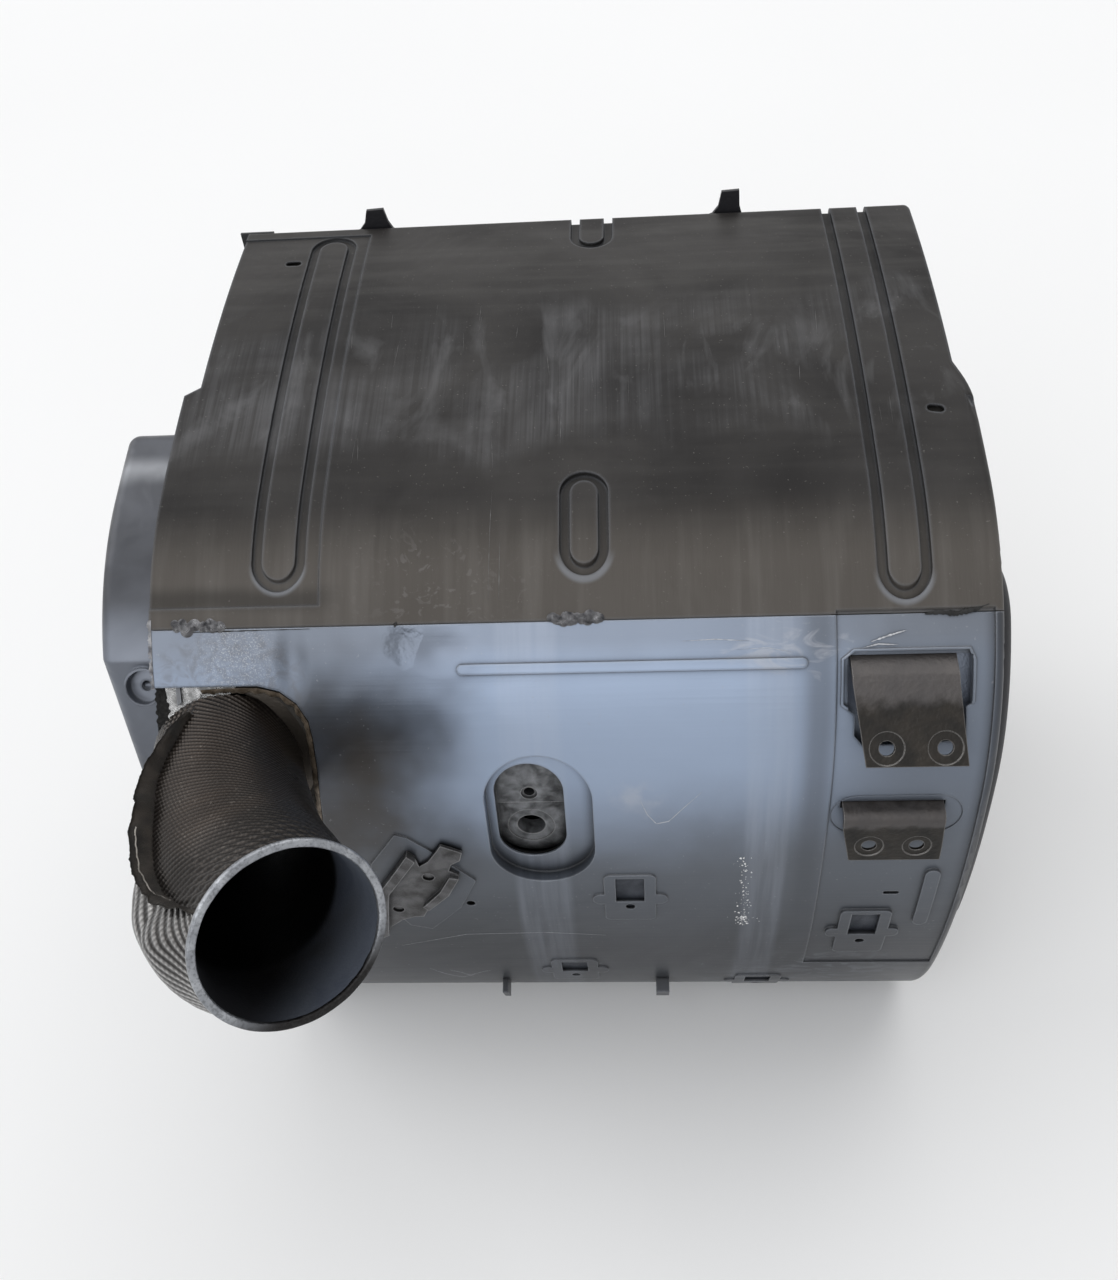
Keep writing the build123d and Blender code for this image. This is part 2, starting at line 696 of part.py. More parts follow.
# Inlet elbow, its clamp flange, the foil collar at its root
with BuildPart() as inlet_pipe:
    add(inlet_core(PIPE_OUTER, 45.0))
    add(inlet_core(PIPE_OUTER - PIPE_WALL, INLET_TAIL), mode=Mode.SUBTRACT)
    mouth = (INLET_MOUTH - INLET_CORNER).normalized()
    with BuildSketch(Plane(origin=INLET_MOUTH - mouth * FLANGE_LENGTH, z_dir=mouth)):
        Circle(PIPE_OUTER + 20)
    extrude(amount=FLANGE_LENGTH + 1, mode=Mode.SUBTRACT)
inlet_pipe.part.label = "inlet_pipe"
export_step(inlet_pipe.part, "parts/inlet_pipe.step")

FLANGE_PLANE = Plane(origin=INLET_MOUTH - mouth * FLANGE_LENGTH, z_dir=mouth)
with BuildPart() as inlet_flange:
    with BuildSketch(FLANGE_PLANE):
        Circle(FLANGE_RADIUS)
        Circle(FLANGE_BORE, mode=Mode.SUBTRACT)
    extrude(amount=FLANGE_LENGTH)
    outer_edges = inlet_flange.edges().filter_by(GeomType.CIRCLE).sort_by(SortBy.RADIUS)[-2:]
    chamfer(outer_edges.sort_by(lambda e: (e.center() - INLET_MOUTH).length)[-1], 8, 4)
    bore_edges = inlet_flange.edges().filter_by(GeomType.CIRCLE).sort_by(SortBy.RADIUS)[:2]
    front_edge = bore_edges.sort_by(lambda e: (e.center() - INLET_MOUTH).length)[0]
    chamfer(front_edge, FLANGE_SEAT)
inlet_flange.part.label = "inlet_flange"
export_step(inlet_flange.part, "parts/inlet_flange.step")

with BuildPart() as inlet_collar:
    add(inlet_core(COLLAR_RADIUS))
    add(inlet_core(PIPE_OUTER), mode=Mode.SUBTRACT)
    add(layer(BLANKET_INSET + 1, CASING_INSET, -2 * HALF_WIDTH, END_PLATE_X - END_PLATE), mode=Mode.INTERSECT)
    add(prism(0, -END_PLATE_X, -END_PLATE_X + END_PLATE), mode=Mode.SUBTRACT)
    add(prism(0, -2 * HALF_WIDTH, -END_PLATE_X), mode=Mode.SUBTRACT)
inlet_collar.part.label = "inlet_collar"
export_step(inlet_collar.part, "parts/inlet_collar.step")

# Elbow heat shield: two halves that meet in a standing rib, packed with insulation
SPLIT, RIB_WAY = split_plane()


def rib_plate(thickness):
    """Flat plate in the middle of the elbow that reaches out on one side as the standing rib."""
    with BuildPart() as plate:
        add(swollen_bar(SHIELD_RIB))
        with BuildPart(mode=Mode.PRIVATE) as slab:
            with BuildSketch(SPLIT):
                Rectangle(900, 900)
            extrude(amount=thickness)
        add(slab.part, mode=Mode.INTERSECT)
        split(bisect_by=Plane(origin=SPLIT.origin, z_dir=RIB_WAY), keep=Keep.TOP)
    return plate.part


def half_shield(way):
    """The shield on one side of the split plane, with its own leaf of the rib."""
    with BuildPart() as half:
        with BuildSketch(SPLIT):
            Rectangle(900, 900)
        extrude(amount=400 * way)
        add(swollen_bar(0), mode=Mode.INTERSECT)
        add(rib_plate(SHIELD_SHEET * way))
        add(swollen_bar(-SHIELD_SHEET), mode=Mode.SUBTRACT)
    return half.part


with BuildPart() as shield_upper:
    add(half_shield(1))
shield_upper.part.label = "shield_upper"
export_step(shield_upper.part, "parts/shield_upper.step")
with BuildPart() as shield_lower:
    add(half_shield(-1))
shield_lower.part.label = "shield_lower"
export_step(shield_lower.part, "parts/shield_lower.step")
with BuildPart() as elbow_insulation:
    add(swollen_bar(-SHIELD_SHEET))
    add(inlet_core(PIPE_OUTER, INLET_TAIL + 30), mode=Mode.SUBTRACT)
elbow_insulation.part.label = "elbow_insulation"
export_step(elbow_insulation.part, "parts/elbow_insulation.step")

# Catalyst cans, their bricks and the mats that hold the bricks
# (node, axis, can radius, x from, x to) of each brick
BRICKS = (
    ("oxidation_brick", FILTER_AXIS, FILTER_CAN, -205.0, -95.0),
    ("filter_brick", FILTER_AXIS, FILTER_CAN, -62.0, 188.0),
    ("scr_brick_front", SCR_AXES["front"], SCR_CAN, -205.0, 80.0),
    ("scr_brick_rear", SCR_AXES["rear"], SCR_CAN, -205.0, 80.0),
    ("slip_brick_front", SCR_AXES["front"], SCR_CAN, 100.0, 190.0),
    ("slip_brick_rear", SCR_AXES["rear"], SCR_CAN, 100.0, 190.0),
)
for node, axis, can, x_from, x_to in BRICKS:
    with BuildPart() as brick:
        add(bar_x(axis, can - CAN_WALL - MAT, x_from, x_to))
    brick.part.label = node
    export_step(brick.part, f"parts/{node}.step")
    with BuildPart() as mat:
        add(tube_x(axis, can - CAN_WALL, can - CAN_WALL - MAT, x_from + 6, x_to - 6))
    mat.part.label = node.replace("brick", "mat")
    export_step(mat.part, f"parts/{mat.part.label}.step")

for node, axis, can in (
    ("filter_can", FILTER_AXIS, FILTER_CAN),
    ("scr_can_front", SCR_AXES["front"], SCR_CAN),
    ("scr_can_rear", SCR_AXES["rear"], SCR_CAN),
    ("mixer_tube", MIXER_AXIS, MIXER_RADIUS),
):
    with BuildPart() as tube:
        add(tube_x(axis, can, can - CAN_WALL, CAN_LEFT, CAN_RIGHT))
    tube.part.label = node
    export_step(tube.part, f"parts/{node}.step")

# Swirl mixer: a hub with slanted blades, pressed into the mixer tube
BLADES = 8
BLADE_LEAN = 38.0
MIXER_X = 150.0
MIXER_LENGTH = 26.0
with BuildPart() as swirl_mixer:
    add(bar_x(MIXER_AXIS, 9, MIXER_X - MIXER_LENGTH / 2, MIXER_X + MIXER_LENGTH / 2))
    for turn in range(BLADES):
        angle = radians(360 / BLADES * turn)
        outward = Vector(0, cos(angle), sin(angle))
        round_way = Vector(0, -sin(angle), cos(angle))
        along = Vector(cos(radians(BLADE_LEAN)), 0, 0) + round_way * sin(radians(BLADE_LEAN))
        with BuildSketch(Plane(origin=(MIXER_X, *MIXER_AXIS), x_dir=along, z_dir=outward)):
            Rectangle(MIXER_LENGTH, 1.5)
        extrude(amount=MIXER_RADIUS + 5)
    add(bar_x(MIXER_AXIS, MIXER_RADIUS - CAN_WALL, 0, 200), mode=Mode.INTERSECT)
swirl_mixer.part.label = "swirl_mixer"
export_step(swirl_mixer.part, "parts/swirl_mixer.step")

# Baffles carry the cans; dividers keep the gas stages apart in the two end chambers
for node, x in (("left_baffle", LEFT_BAFFLE_X), ("right_baffle", RIGHT_BAFFLE_X)):
    with BuildPart() as baffle:
        add(prism(LINED_INSET, x, x + BAFFLE))
        for axis, can in ((FILTER_AXIS, FILTER_CAN), (MIXER_AXIS, MIXER_RADIUS)):
            add(bar_x(axis, can, x, x + BAFFLE), mode=Mode.SUBTRACT)
        for axis in SCR_AXES.values():
            add(bar_x(axis, SCR_CAN, x, x + BAFFLE), mode=Mode.SUBTRACT)
    baffle.part.label = node
    export_step(baffle.part, f"parts/{node}.step")

with BuildPart() as left_divider:
    with BuildSketch(Plane.YZ.offset(-CASING_X)):
        with BuildLine():
            fold = FilletPolyline((-400, DIVIDER_Z), (DIVIDER_Y, DIVIDER_Z), (DIVIDER_Y, 800), radius=20)
        trace(fold, BAFFLE)
    extrude(amount=CASING_X + LEFT_BAFFLE_X)
    add(prism(LINED_INSET, -CASING_X, LEFT_BAFFLE_X), mode=Mode.INTERSECT)
left_divider.part.label = "left_divider"
export_step(left_divider.part, "parts/left_divider.step")

with BuildPart() as right_divider:
    with BuildSketch(Plane.YZ.offset(RIGHT_BAFFLE_X + BAFFLE)):
        with BuildLine():
            flat = Line((-400, DIVIDER_Z), (400, DIVIDER_Z))
        trace(flat, BAFFLE)
    extrude(amount=CASING_X - RIGHT_BAFFLE_X - BAFFLE)
    add(prism(LINED_INSET, RIGHT_BAFFLE_X + BAFFLE, CASING_X), mode=Mode.INTERSECT)
    for axis, can in ((FILTER_AXIS, FILTER_CAN), (SCR_AXES["front"], SCR_CAN), (SCR_AXES["rear"], SCR_CAN)):
        add(bar_x(axis, can, 0, CAN_RIGHT), mode=Mode.SUBTRACT)
right_divider.part.label = "right_divider"
export_step(right_divider.part, "parts/right_divider.step")

# Rear outlet
with BuildPart() as outlet_pipe:
    add(outlet_bar(OUTLET_NECK, OUTLET_FROM, OUTLET_STEP))
    add(outlet_bar(OUTLET_RADIUS, OUTLET_STEP, OUTLET_END))
    add(outlet_bar(OUTLET_BORE, OUTLET_FROM, OUTLET_END), mode=Mode.SUBTRACT)
outlet_pipe.part.label = "outlet_pipe"
export_step(outlet_pipe.part, "parts/outlet_pipe.step")

# Sensor block in the oval port: a cast block welded behind the casing's opening, stepped
# across its middle, with a threaded hole in a spotface and a smaller countersunk one above
SENSOR_FACE = 22.0
SENSOR_BACK = 42.0
SENSOR_STEP = (-42.0, 732.0, 62.0, 76.0)
SENSOR_AT = (-44.0, 727.0)
SENSOR_SPOT = 21.5
SENSOR_BORE = 13.0
SCREW_AT = (-43.0, 681.0)
SCREW_SINK = 7.4
SCREW_BORE = 5.0
with BuildPart() as sensor_block:
    x, travel, width, height = PORT_INNER
    add(in_layer(slot_face(width + 10, height + 10), x, travel, LINED_INSET, SENSOR_BACK))
    add(in_layer(slot_face(width, height), x, travel, 0, SENSOR_FACE), mode=Mode.SUBTRACT)
    x, travel, width, height = SENSOR_STEP
    add(in_layer(block_face(width, height), x, travel, 0, SENSOR_FACE + 2), mode=Mode.SUBTRACT)
    with BuildSketch(skin_plane(*SENSOR_AT, -SENSOR_FACE - 3)):
        Circle(SENSOR_SPOT)
    extrude(amount=10, mode=Mode.SUBTRACT)
    with BuildSketch(skin_plane(*SENSOR_AT, -SENSOR_FACE)):
        Circle(SENSOR_BORE)
    extrude(amount=40, both=True, mode=Mode.SUBTRACT)
    with BuildSketch(skin_plane(*SCREW_AT, -SENSOR_FACE)):
        Circle(SCREW_BORE)
    extrude(amount=40, both=True, mode=Mode.SUBTRACT)
    with BuildSketch(skin_plane(*SCREW_AT, -SENSOR_FACE - 2)):
        Circle(SCREW_SINK)
    extrude(amount=10, mode=Mode.SUBTRACT)
sensor_block.part.label = "sensor_block"
export_step(sensor_block.part, "parts/sensor_block.step")

# Dosing port: flanged stub on the right end plate, in line with the mixer tube
DOSING_FLANGE = 40.0
DOSING_BORE = 15.0
DOSING_FACE_X = 366.0
DOSING_PITCH = 28.0
DOSING_HOLE = 3.4
with BuildPart() as dosing_port:
    add(bar_x(MIXER_AXIS, DOSING_FLANGE - 16, END_PLATE_X, DOSING_FACE_X - 8))
    add(bar_x(MIXER_AXIS, DOSING_FLANGE, DOSING_FACE_X - 8, DOSING_FACE_X))
    add(bar_x(MIXER_AXIS, DOSING_BORE, END_PLATE_X, DOSING_FACE_X), mode=Mode.SUBTRACT)
    with BuildSketch(Plane.YZ.offset(DOSING_FACE_X)):
        with Locations(MIXER_AXIS):
            with PolarLocations(DOSING_PITCH, 3, start_angle=90):
                Circle(DOSING_HOLE)
    extrude(amount=-8, mode=Mode.SUBTRACT)
dosing_port.part.label = "dosing_port"
export_step(dosing_port.part, "parts/dosing_port.step")

# Mounting brackets: folded plates that stand on the casing and come out through the cover.
# Each hole sits in a shallow round dimple of the plate's outer face.
BRACKET = 4.0
BRACKET_HOLE = 6.5
DIMPLE = 1.0
UPPER_RUN = ((-190.0, 578.0), (-236.0, 568.0), (-284.0, 510.0))
UPPER_HOLE_XS = (262.0, 310.0)
UPPER_HOLE_SHARE = 0.79
UPPER_DIMPLE = 14.5
LOWER_RUN = ((-240.0, 450.0), (-292.0, 448.0), (-299.0, 395.0))
LOWER_HOLE_XS = (257.5, 299.0)
LOWER_HOLE_SHARE = 0.655
LOWER_DIMPLE = 12.5


def folded_plate(x_from, x_to, points, bend):
    """Plate of the bracket's thickness along a run of (y, z) points."""
    with BuildPart() as plate:
        with BuildSketch(Plane.YZ.offset(x_from)):
            with BuildLine():
                run = FilletPolyline(*points, radius=bend)
            trace(run, BRACKET)
        extrude(amount=x_to - x_from)
        add(prism(CASING_INSET, -HALF_WIDTH, HALF_WIDTH), mode=Mode.SUBTRACT)
    return plate.part


def hole_plane(x, run, share):
    """Plane of a hole, a share of the way down a run's last stretch, on its middle line."""
    upper, lower = run[1:]
    y = upper[0] + (lower[0] - upper[0]) * share
    z = upper[1] + (lower[1] - upper[1]) * share
    outward = (0, lower[1] - upper[1], upper[0] - lower[0])
    return Plane(origin=(x, y, z), x_dir=(1, 0, 0), z_dir=outward)


def bracket_waste(plane, dimple):
    """Bar of one hole with the dimple round its outer end."""
    with BuildPart() as waste:
        with BuildSketch(plane):
            Circle(BRACKET_HOLE)
        extrude(amount=20, both=True)
        with BuildSketch(plane.offset(BRACKET / 2 - DIMPLE)):
            Circle(dimple)
        extrude(amount=BRACKET)
    return waste.part


with BuildPart() as upper_bracket:
    add(folded_plate(234, 331, UPPER_RUN, 10))
    with BuildSketch(Plane.XZ.offset(100)):
        with BuildLine():
            Polyline((234, 640), (234, 566), (247, 500), (331, 500), (321, 566), (321, 640), close=True)
        make_face()
    extrude(amount=300, mode=Mode.INTERSECT)
    for x in UPPER_HOLE_XS:
        add(bracket_waste(hole_plane(x, UPPER_RUN, UPPER_HOLE_SHARE), UPPER_DIMPLE), mode=Mode.SUBTRACT)
upper_bracket.part.label = "upper_bracket"
export_step(upper_bracket.part, "parts/upper_bracket.step")

with BuildPart() as lower_bracket:
    add(folded_plate(233, 321, LOWER_RUN, 8))
    with BuildSketch(Plane.XZ.offset(100)):
        with BuildLine():
            Polyline((233, 640), (233, 435), (242, 390), (322, 390), (320, 435), (320, 640), close=True)
        make_face()
    extrude(amount=300, mode=Mode.INTERSECT)
    for x in LOWER_HOLE_XS:
        add(bracket_waste(hole_plane(x, LOWER_RUN, LOWER_HOLE_SHARE), LOWER_DIMPLE), mode=Mode.SUBTRACT)
lower_bracket.part.label = "lower_bracket"
export_step(lower_bracket.part, "parts/lower_bracket.step")

# Closing plate that fills the lower cut-out round its bracket
LOWER_PASSAGE = (276.5, 680.6, 90.0, 8.0)
with BuildPart() as lower_collar:
    x, travel, width, height = LOWER_CUT
    add(in_layer(slot_face(width, height), x, travel, STRIP_SINK + 0.5, STRIP_SINK + SHEET))
    x, travel, width, height = LOWER_PASSAGE
    add(through(block_face(width, height), x, travel, 12), mode=Mode.SUBTRACT)
lower_collar.part.label = "lower_collar"
export_step(lower_collar.part, "parts/lower_collar.step")

# Corner clip bracket: a plate with two standing ribs that lies slantwise on its pad
with BuildPart() as clip_bracket:
    add(in_layer(flat_polygon(CLIP_PLATE, CLIP_AT), *CLIP_AT, -PAD_LIFT - CLIP_SHEET, -PAD_LIFT))
    for points in CLIP_RIBS:
        rib = flat_polygon(points, CLIP_AT)
        add(in_layer(rib, *CLIP_AT, -PAD_LIFT - CLIP_SHEET - CLIP_RIB, -PAD_LIFT))
    for x, travel, radius in CLIP_HOLES:
        with BuildSketch(skin_plane(x, travel, PAD_LIFT)):
            Circle(radius)
        extrude(amount=20, mode=Mode.SUBTRACT)
clip_bracket.part.label = "clip_bracket"
export_step(clip_bracket.part, "parts/clip_bracket.step")

# Clip nuts: a plate that backs each window and carries a nut behind the hole
NUT_PLATE = 2.0
NUT_BORE = 3.3
for letter, (x, travel, height, drop) in WINDOWS.items():
    with BuildPart() as clip_nut:
        backing = block_face(WINDOW_WIDTH + 9, height + drop + 9, 4)
        start = SHEET + STRIP_SINK if x > 222 else SHEET
        add(in_layer(backing, x, travel + drop / 2, start, start + NUT_PLATE))
        add(in_layer(block_face(NUT_WIDTH, NUT_HEIGHT), x, travel + drop, start, BLANKET_INSET + 2))
        with BuildSketch(skin_plane(x, travel + drop)):
            Circle(NUT_BORE)
        extrude(amount=20, both=True, mode=Mode.SUBTRACT)
    clip_nut.part.label = f"clip_nut_{letter}"
    export_step(clip_nut.part, f"parts/clip_nut_{letter}.step")

# Rear hooks that the unit hangs on: (x, height over the roof) round a plate with a leaning tab
LEFT_HOOK = (
    (-258, -52), (-251, -8), (-228, -5), (-221, 3), (-217, 17), (-199, 18), (-196, 4), (-192, -4), (-188, -8),
    (-183, -52),
)
RIGHT_HOOK = (
    (131, -52), (136, -8), (146, -4), (152, 4), (155, 20), (173, 21), (174, 4), (177, -6), (183, -52),
)
HOOK_SHEET = 4.0
for node, points in (("rear_hook_left", LEFT_HOOK), ("rear_hook_right", RIGHT_HOOK)):
    with BuildPart() as hook:
        with BuildSketch(Plane.XZ.offset(-REAR_Y)):
            with BuildLine():
                Polyline(*[(x, HEIGHT + over) for x, over in points], close=True)
            make_face()
        extrude(amount=-HOOK_SHEET)
    hook.part.label = node
    export_step(hook.part, f"parts/{node}.step")

with BuildPart() as rear_corner_hook:
    with BuildSketch(Plane.XZ.offset(-REAR_Y)):
        with Locations((-339, 696)):
            Rectangle(36, 20)
    extrude(amount=-3)
rear_corner_hook.part.label = "rear_corner_hook"
export_step(rear_corner_hook.part, "parts/rear_corner_hook.step")

# Lower lugs on the belly of the front cover
for node, x, width in (("lower_lug_left", -94.0, 6.0), ("lower_lug_right", 77.0, 14.0)):
    with BuildPart() as lug:
        add(through(block_face(width, 30), x, 1025, 15))
        add(prism(0, -HALF_WIDTH, HALF_WIDTH), mode=Mode.SUBTRACT)
    lug.part.label = node
    export_step(lug.part, f"parts/{node}.step")

# Weld beads across the seam
for node, x, width in (("seam_weld_left", -317.0, 45.0), ("seam_weld_middle", 6.0, 48.0)):
    with BuildPart() as weld:
        add(in_layer(block_face(width, 6), x, 500.5, -1.2, 0))
    weld.part.label = node
    export_step(weld.part, f"parts/{node}.step")
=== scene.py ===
import json
from math import cos, degrees, exp, hypot, pi, radians, sin, tan
from random import Random

import bpy
from mathutils import Matrix, Vector, noise


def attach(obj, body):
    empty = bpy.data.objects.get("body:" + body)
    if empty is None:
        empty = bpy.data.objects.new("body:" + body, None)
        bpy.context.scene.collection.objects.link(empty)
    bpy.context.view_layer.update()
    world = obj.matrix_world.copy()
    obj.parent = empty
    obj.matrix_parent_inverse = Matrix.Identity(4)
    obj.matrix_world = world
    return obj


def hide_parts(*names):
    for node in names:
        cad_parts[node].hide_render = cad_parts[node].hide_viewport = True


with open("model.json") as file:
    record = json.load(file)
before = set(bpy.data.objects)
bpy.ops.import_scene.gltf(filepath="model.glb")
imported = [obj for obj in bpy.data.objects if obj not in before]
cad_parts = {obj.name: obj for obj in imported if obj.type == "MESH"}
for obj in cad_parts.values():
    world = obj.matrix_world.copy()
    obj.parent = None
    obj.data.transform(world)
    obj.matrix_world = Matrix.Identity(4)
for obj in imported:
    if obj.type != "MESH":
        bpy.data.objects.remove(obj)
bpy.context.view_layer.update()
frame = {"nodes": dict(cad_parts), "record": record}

NODES = frame["nodes"]

# The skin's section from the roof's rear edge forward: radius in metres and turn in degrees of each bend
BENDS = ((1.530, 14.0), (0.258, 66.0), (0.900, 19.0), (0.300, 25.0), (0.090, 56.0))

# Place of that edge, as y and z in metres
ROOF_EDGE = (0.284, 0.70856)


def at(x, travel, lift=0.0):
    """Point in metres, at a distance across, a travel round the skin and a lift off it in millimetres."""
    x, travel, lift = x / 1000, travel / 1000, lift / 1000
    y, z = ROOF_EDGE
    angle = 0.0
    for radius, turn in BENDS:
        part = min(turn, degrees(travel / radius))
        y -= radius * (sin(radians(angle + part)) - sin(radians(angle)))
        z -= radius * (cos(radians(angle)) - cos(radians(angle + part)))
        angle += part
        travel -= radius * radians(part)
        if travel <= 1e-9:
            break
    normal = Vector((0.0, -sin(radians(angle)), cos(radians(angle))))
    return tuple(Vector((x, y, z)) + normal * lift)


# Camera, where the photographer stood
CAMERA_PLACE = (0.0568, -0.8942, 1.3263)
HEADING, PITCH, ROLL = radians(-5.39), radians(46.8), radians(-5.22)
forward = Vector((sin(HEADING) * cos(PITCH), cos(HEADING) * cos(PITCH), -sin(PITCH)))
level = Vector((cos(HEADING), -sin(HEADING), 0.0))
upright = level.cross(forward)
right = cos(ROLL) * level + sin(ROLL) * upright
up = -sin(ROLL) * level + cos(ROLL) * upright
facing = Matrix((right, up, -forward)).transposed().to_4x4()
camera = bpy.data.objects.new("camera", bpy.data.cameras.new("camera"))
bpy.context.scene.collection.objects.link(camera)
camera.matrix_world = Matrix.Translation(CAMERA_PLACE) @ facing
camera.data.sensor_width = 36.0
camera.data.lens = 33.75
bpy.context.scene.camera = camera
bpy.context.scene.view_settings.view_transform = "Standard"

# How far the painted shade reaches out of a corner, in metres
SHADE_REACH = 0.012


class Look:
    """A node material with short calls for the nodes that the looks here use."""

    def __init__(self, name, metallic=0.6, roughness=0.45):
        self.material = bpy.data.materials.new(name)
        self.material.use_nodes = True
        self.tree = self.material.node_tree
        self.shader = self.tree.nodes["Principled BSDF"]
        self.shader.inputs["Metallic"].default_value = metallic
        self.shader.inputs["Roughness"].default_value = roughness
        self.place = self.node("ShaderNodeTexCoord").outputs["Object"]

    def node(self, kind, **settings):
        """A new node of a kind, with its own settings."""
        made = self.tree.nodes.new(kind)
        for key, value in settings.items():
            setattr(made, key, value)
        return made

    def put(self, source, socket):
        """Link another node's output to a socket, or set the socket's value."""
        if hasattr(source, "is_output"):
            self.tree.links.new(source, socket)
        else:
            socket.default_value = source

    def stretched(self, scale):
        """Object coordinates, in metres, scaled by a number along each axis."""
        mapping = self.node("ShaderNodeMapping")
        self.put(self.place, mapping.inputs["Vector"])
        mapping.inputs["Scale"].default_value = scale
        return mapping.outputs["Vector"]

    def noise(self, scale, detail=4.0, stretch=None, warp=0.0):
        """Noise over the object's own place, about 0.3 to 0.7."""
        made = self.node("ShaderNodeTexNoise")
        self.put(self.stretched(stretch) if stretch else self.place, made.inputs["Vector"])
        made.inputs["Scale"].default_value = scale
        made.inputs["Detail"].default_value = detail
        made.inputs["Distortion"].default_value = warp
        return made.outputs["Fac"]

    def fit(self, value, low, high, to_low=0.0, to_high=1.0, smooth=False):
        """A value carried over from one range to another, and held at its ends."""
        made = self.node("ShaderNodeMapRange", interpolation_type="SMOOTHSTEP" if smooth else "LINEAR")
        self.put(value, made.inputs["Value"])
        for key, number in (("From Min", low), ("From Max", high), ("To Min", to_low), ("To Max", to_high)):
            made.inputs[key].default_value = number
        return made.outputs["Result"]

    def math(self, operation, first, second=0.0):
        """One operation on one or two values."""
        made = self.node("ShaderNodeMath", operation=operation)
        self.put(first, made.inputs[0])
        self.put(second, made.inputs[1])
        return made.outputs["Value"]

    def times(self, *values):
        """The product of some values."""
        result = values[0]
        for value in values[1:]:
            result = self.math("MULTIPLY", result, value)
        return result

    def most(self, *values):
        """The largest of some values."""
        result = values[0]
        for value in values[1:]:
            result = self.math("MAXIMUM", result, value)
        return result

    def axis(self, letter):
        """Place along one axis, in metres."""
        made = self.node("ShaderNodeSeparateXYZ")
        self.put(self.place, made.inputs["Vector"])
        return made.outputs[letter]

    def wavering(self, value, reach, scale):
        """A value that strays either way by up to a reach."""
        return self.math("ADD", value, self.fit(self.noise(scale, 3), 0.3, 0.7, -reach, reach))

    def spot(self, centre, inner, outer, squash=(1, 1, 1), waver=0.0, waver_scale=20.0):
        """1 within the inner distance of a point and 0 beyond the outer one, its rim wavering.

        Squash scales the distance along each axis.
        """
        shift = self.node("ShaderNodeVectorMath", operation="SUBTRACT")
        self.put(self.place, shift.inputs[0])
        shift.inputs[1].default_value = centre
        scaled = self.node("ShaderNodeVectorMath", operation="MULTIPLY")
        self.put(shift.outputs["Vector"], scaled.inputs[0])
        scaled.inputs[1].default_value = squash
        length = self.node("ShaderNodeVectorMath", operation="LENGTH")
        self.put(scaled.outputs["Vector"], length.inputs[0])
        distance = length.outputs["Value"]
        if waver:
            distance = self.wavering(distance, waver, waver_scale)
        return self.fit(distance, inner, outer, 1.0, 0.0, smooth=True)

    def band(self, letter, low, high, soft, waver=0.0, waver_scale=12.0):
        """1 between two places along an axis, fading over the soft distance."""
        value = self.axis(letter)
        if waver:
            value = self.wavering(value, waver, waver_scale)
        rise = self.fit(value, low - soft, low + soft, smooth=True)
        fall = self.fit(value, high - soft, high + soft, 1.0, 0.0, smooth=True)
        return self.times(rise, fall)

    def mix(self, amount, first, second):
        """Colour between two others."""
        made = self.node("ShaderNodeMix", data_type="RGBA")
        self.put(amount, made.inputs["Factor"])
        self.put((*first, 1.0) if isinstance(first, tuple) else first, made.inputs[6])
        self.put((*second, 1.0) if isinstance(second, tuple) else second, made.inputs[7])
        return made.outputs[2]

    def mottled(self, clouds, dark, light):
        """Colour that goes from dark to light with the clouds."""
        return self.mix(self.fit(clouds, 0.35, 0.65), dark, light)

    def over(self, base, colour, *amounts):
        """Colour laid over a base by the product of the amounts."""
        return self.mix(self.times(*amounts), base, colour)

    def colour(self, value):
        self.put(value, self.shader.inputs["Base Color"])

    def rough(self, clouds, at_dark, at_light):
        """Roughness that goes with the clouds, as the colour does."""
        self.put(self.fit(clouds, 0.3, 0.7, at_dark, at_light), self.shader.inputs["Roughness"])

    def rounded(self, radius=0.0016):
        """Normal of the surface as if its edges were rounded."""
        made = self.node("ShaderNodeBevel")
        made.inputs["Radius"].default_value = radius
        return made.outputs["Normal"]

    def edges(self, radius=0.002):
        """1 on the outer edges of the solid, where it is worn and where a painted highlight goes, and 0 on
        its faces.
        """
        flat = self.node("ShaderNodeNewGeometry").outputs["Normal"]
        dot = self.node("ShaderNodeVectorMath", operation="DOT_PRODUCT")
        self.put(self.rounded(radius), dot.inputs[0])
        self.put(flat, dot.inputs[1])
        return self.fit(dot.outputs["Value"], 0.97, 0.80)

    def painted_shade(self, base, dark, amount=0.85):
        """Colour darkened in corners, grooves and holes: painted shade."""
        made = self.node("ShaderNodeAmbientOcclusion", samples=6)
        made.inputs["Distance"].default_value = SHADE_REACH
        return self.over(base, dark, self.fit(made.outputs["AO"], 0.92, 0.45), amount)

    def bump(self, height, distance, before=None):
        """Normal as if a height of 0 to 1 raised the surface by a distance, on top of an earlier normal."""
        made = self.node("ShaderNodeBump")
        made.inputs["Distance"].default_value = distance
        self.put(height, made.inputs["Height"])
        if before is not None:
            self.put(before, made.inputs["Normal"])
        self.put(made.outputs["Normal"], self.shader.inputs["Normal"])
        return made.outputs["Normal"]


# The elbow's middle line: a short straight, a bend and a straight up to the ring
ROOT = Vector((-0.3030, -0.2620, 0.5030))
CORNER = Vector((-0.2831, -0.3593, 0.5194))
MOUTH = Vector((-0.1856, -0.4843, 0.5936))
BEND = 0.370
WAY_IN = (CORNER - ROOT).normalized()
WAY_OUT = (MOUTH - CORNER).normalized()
TURN = WAY_IN.angle(WAY_OUT)
SIDE = WAY_IN.cross(WAY_OUT).normalized()

# Lengths of its three parts, of the whole and of the foil wrap, which ends short of the ring, in metres
FIRST = (CORNER - ROOT).length - BEND * tan(TURN / 2)
ARC = BEND * TURN
LAST = (MOUTH - CORNER).length - BEND * tan(TURN / 2)
ELBOW = FIRST + ARC + LAST
WRAP = ELBOW - 0.0045

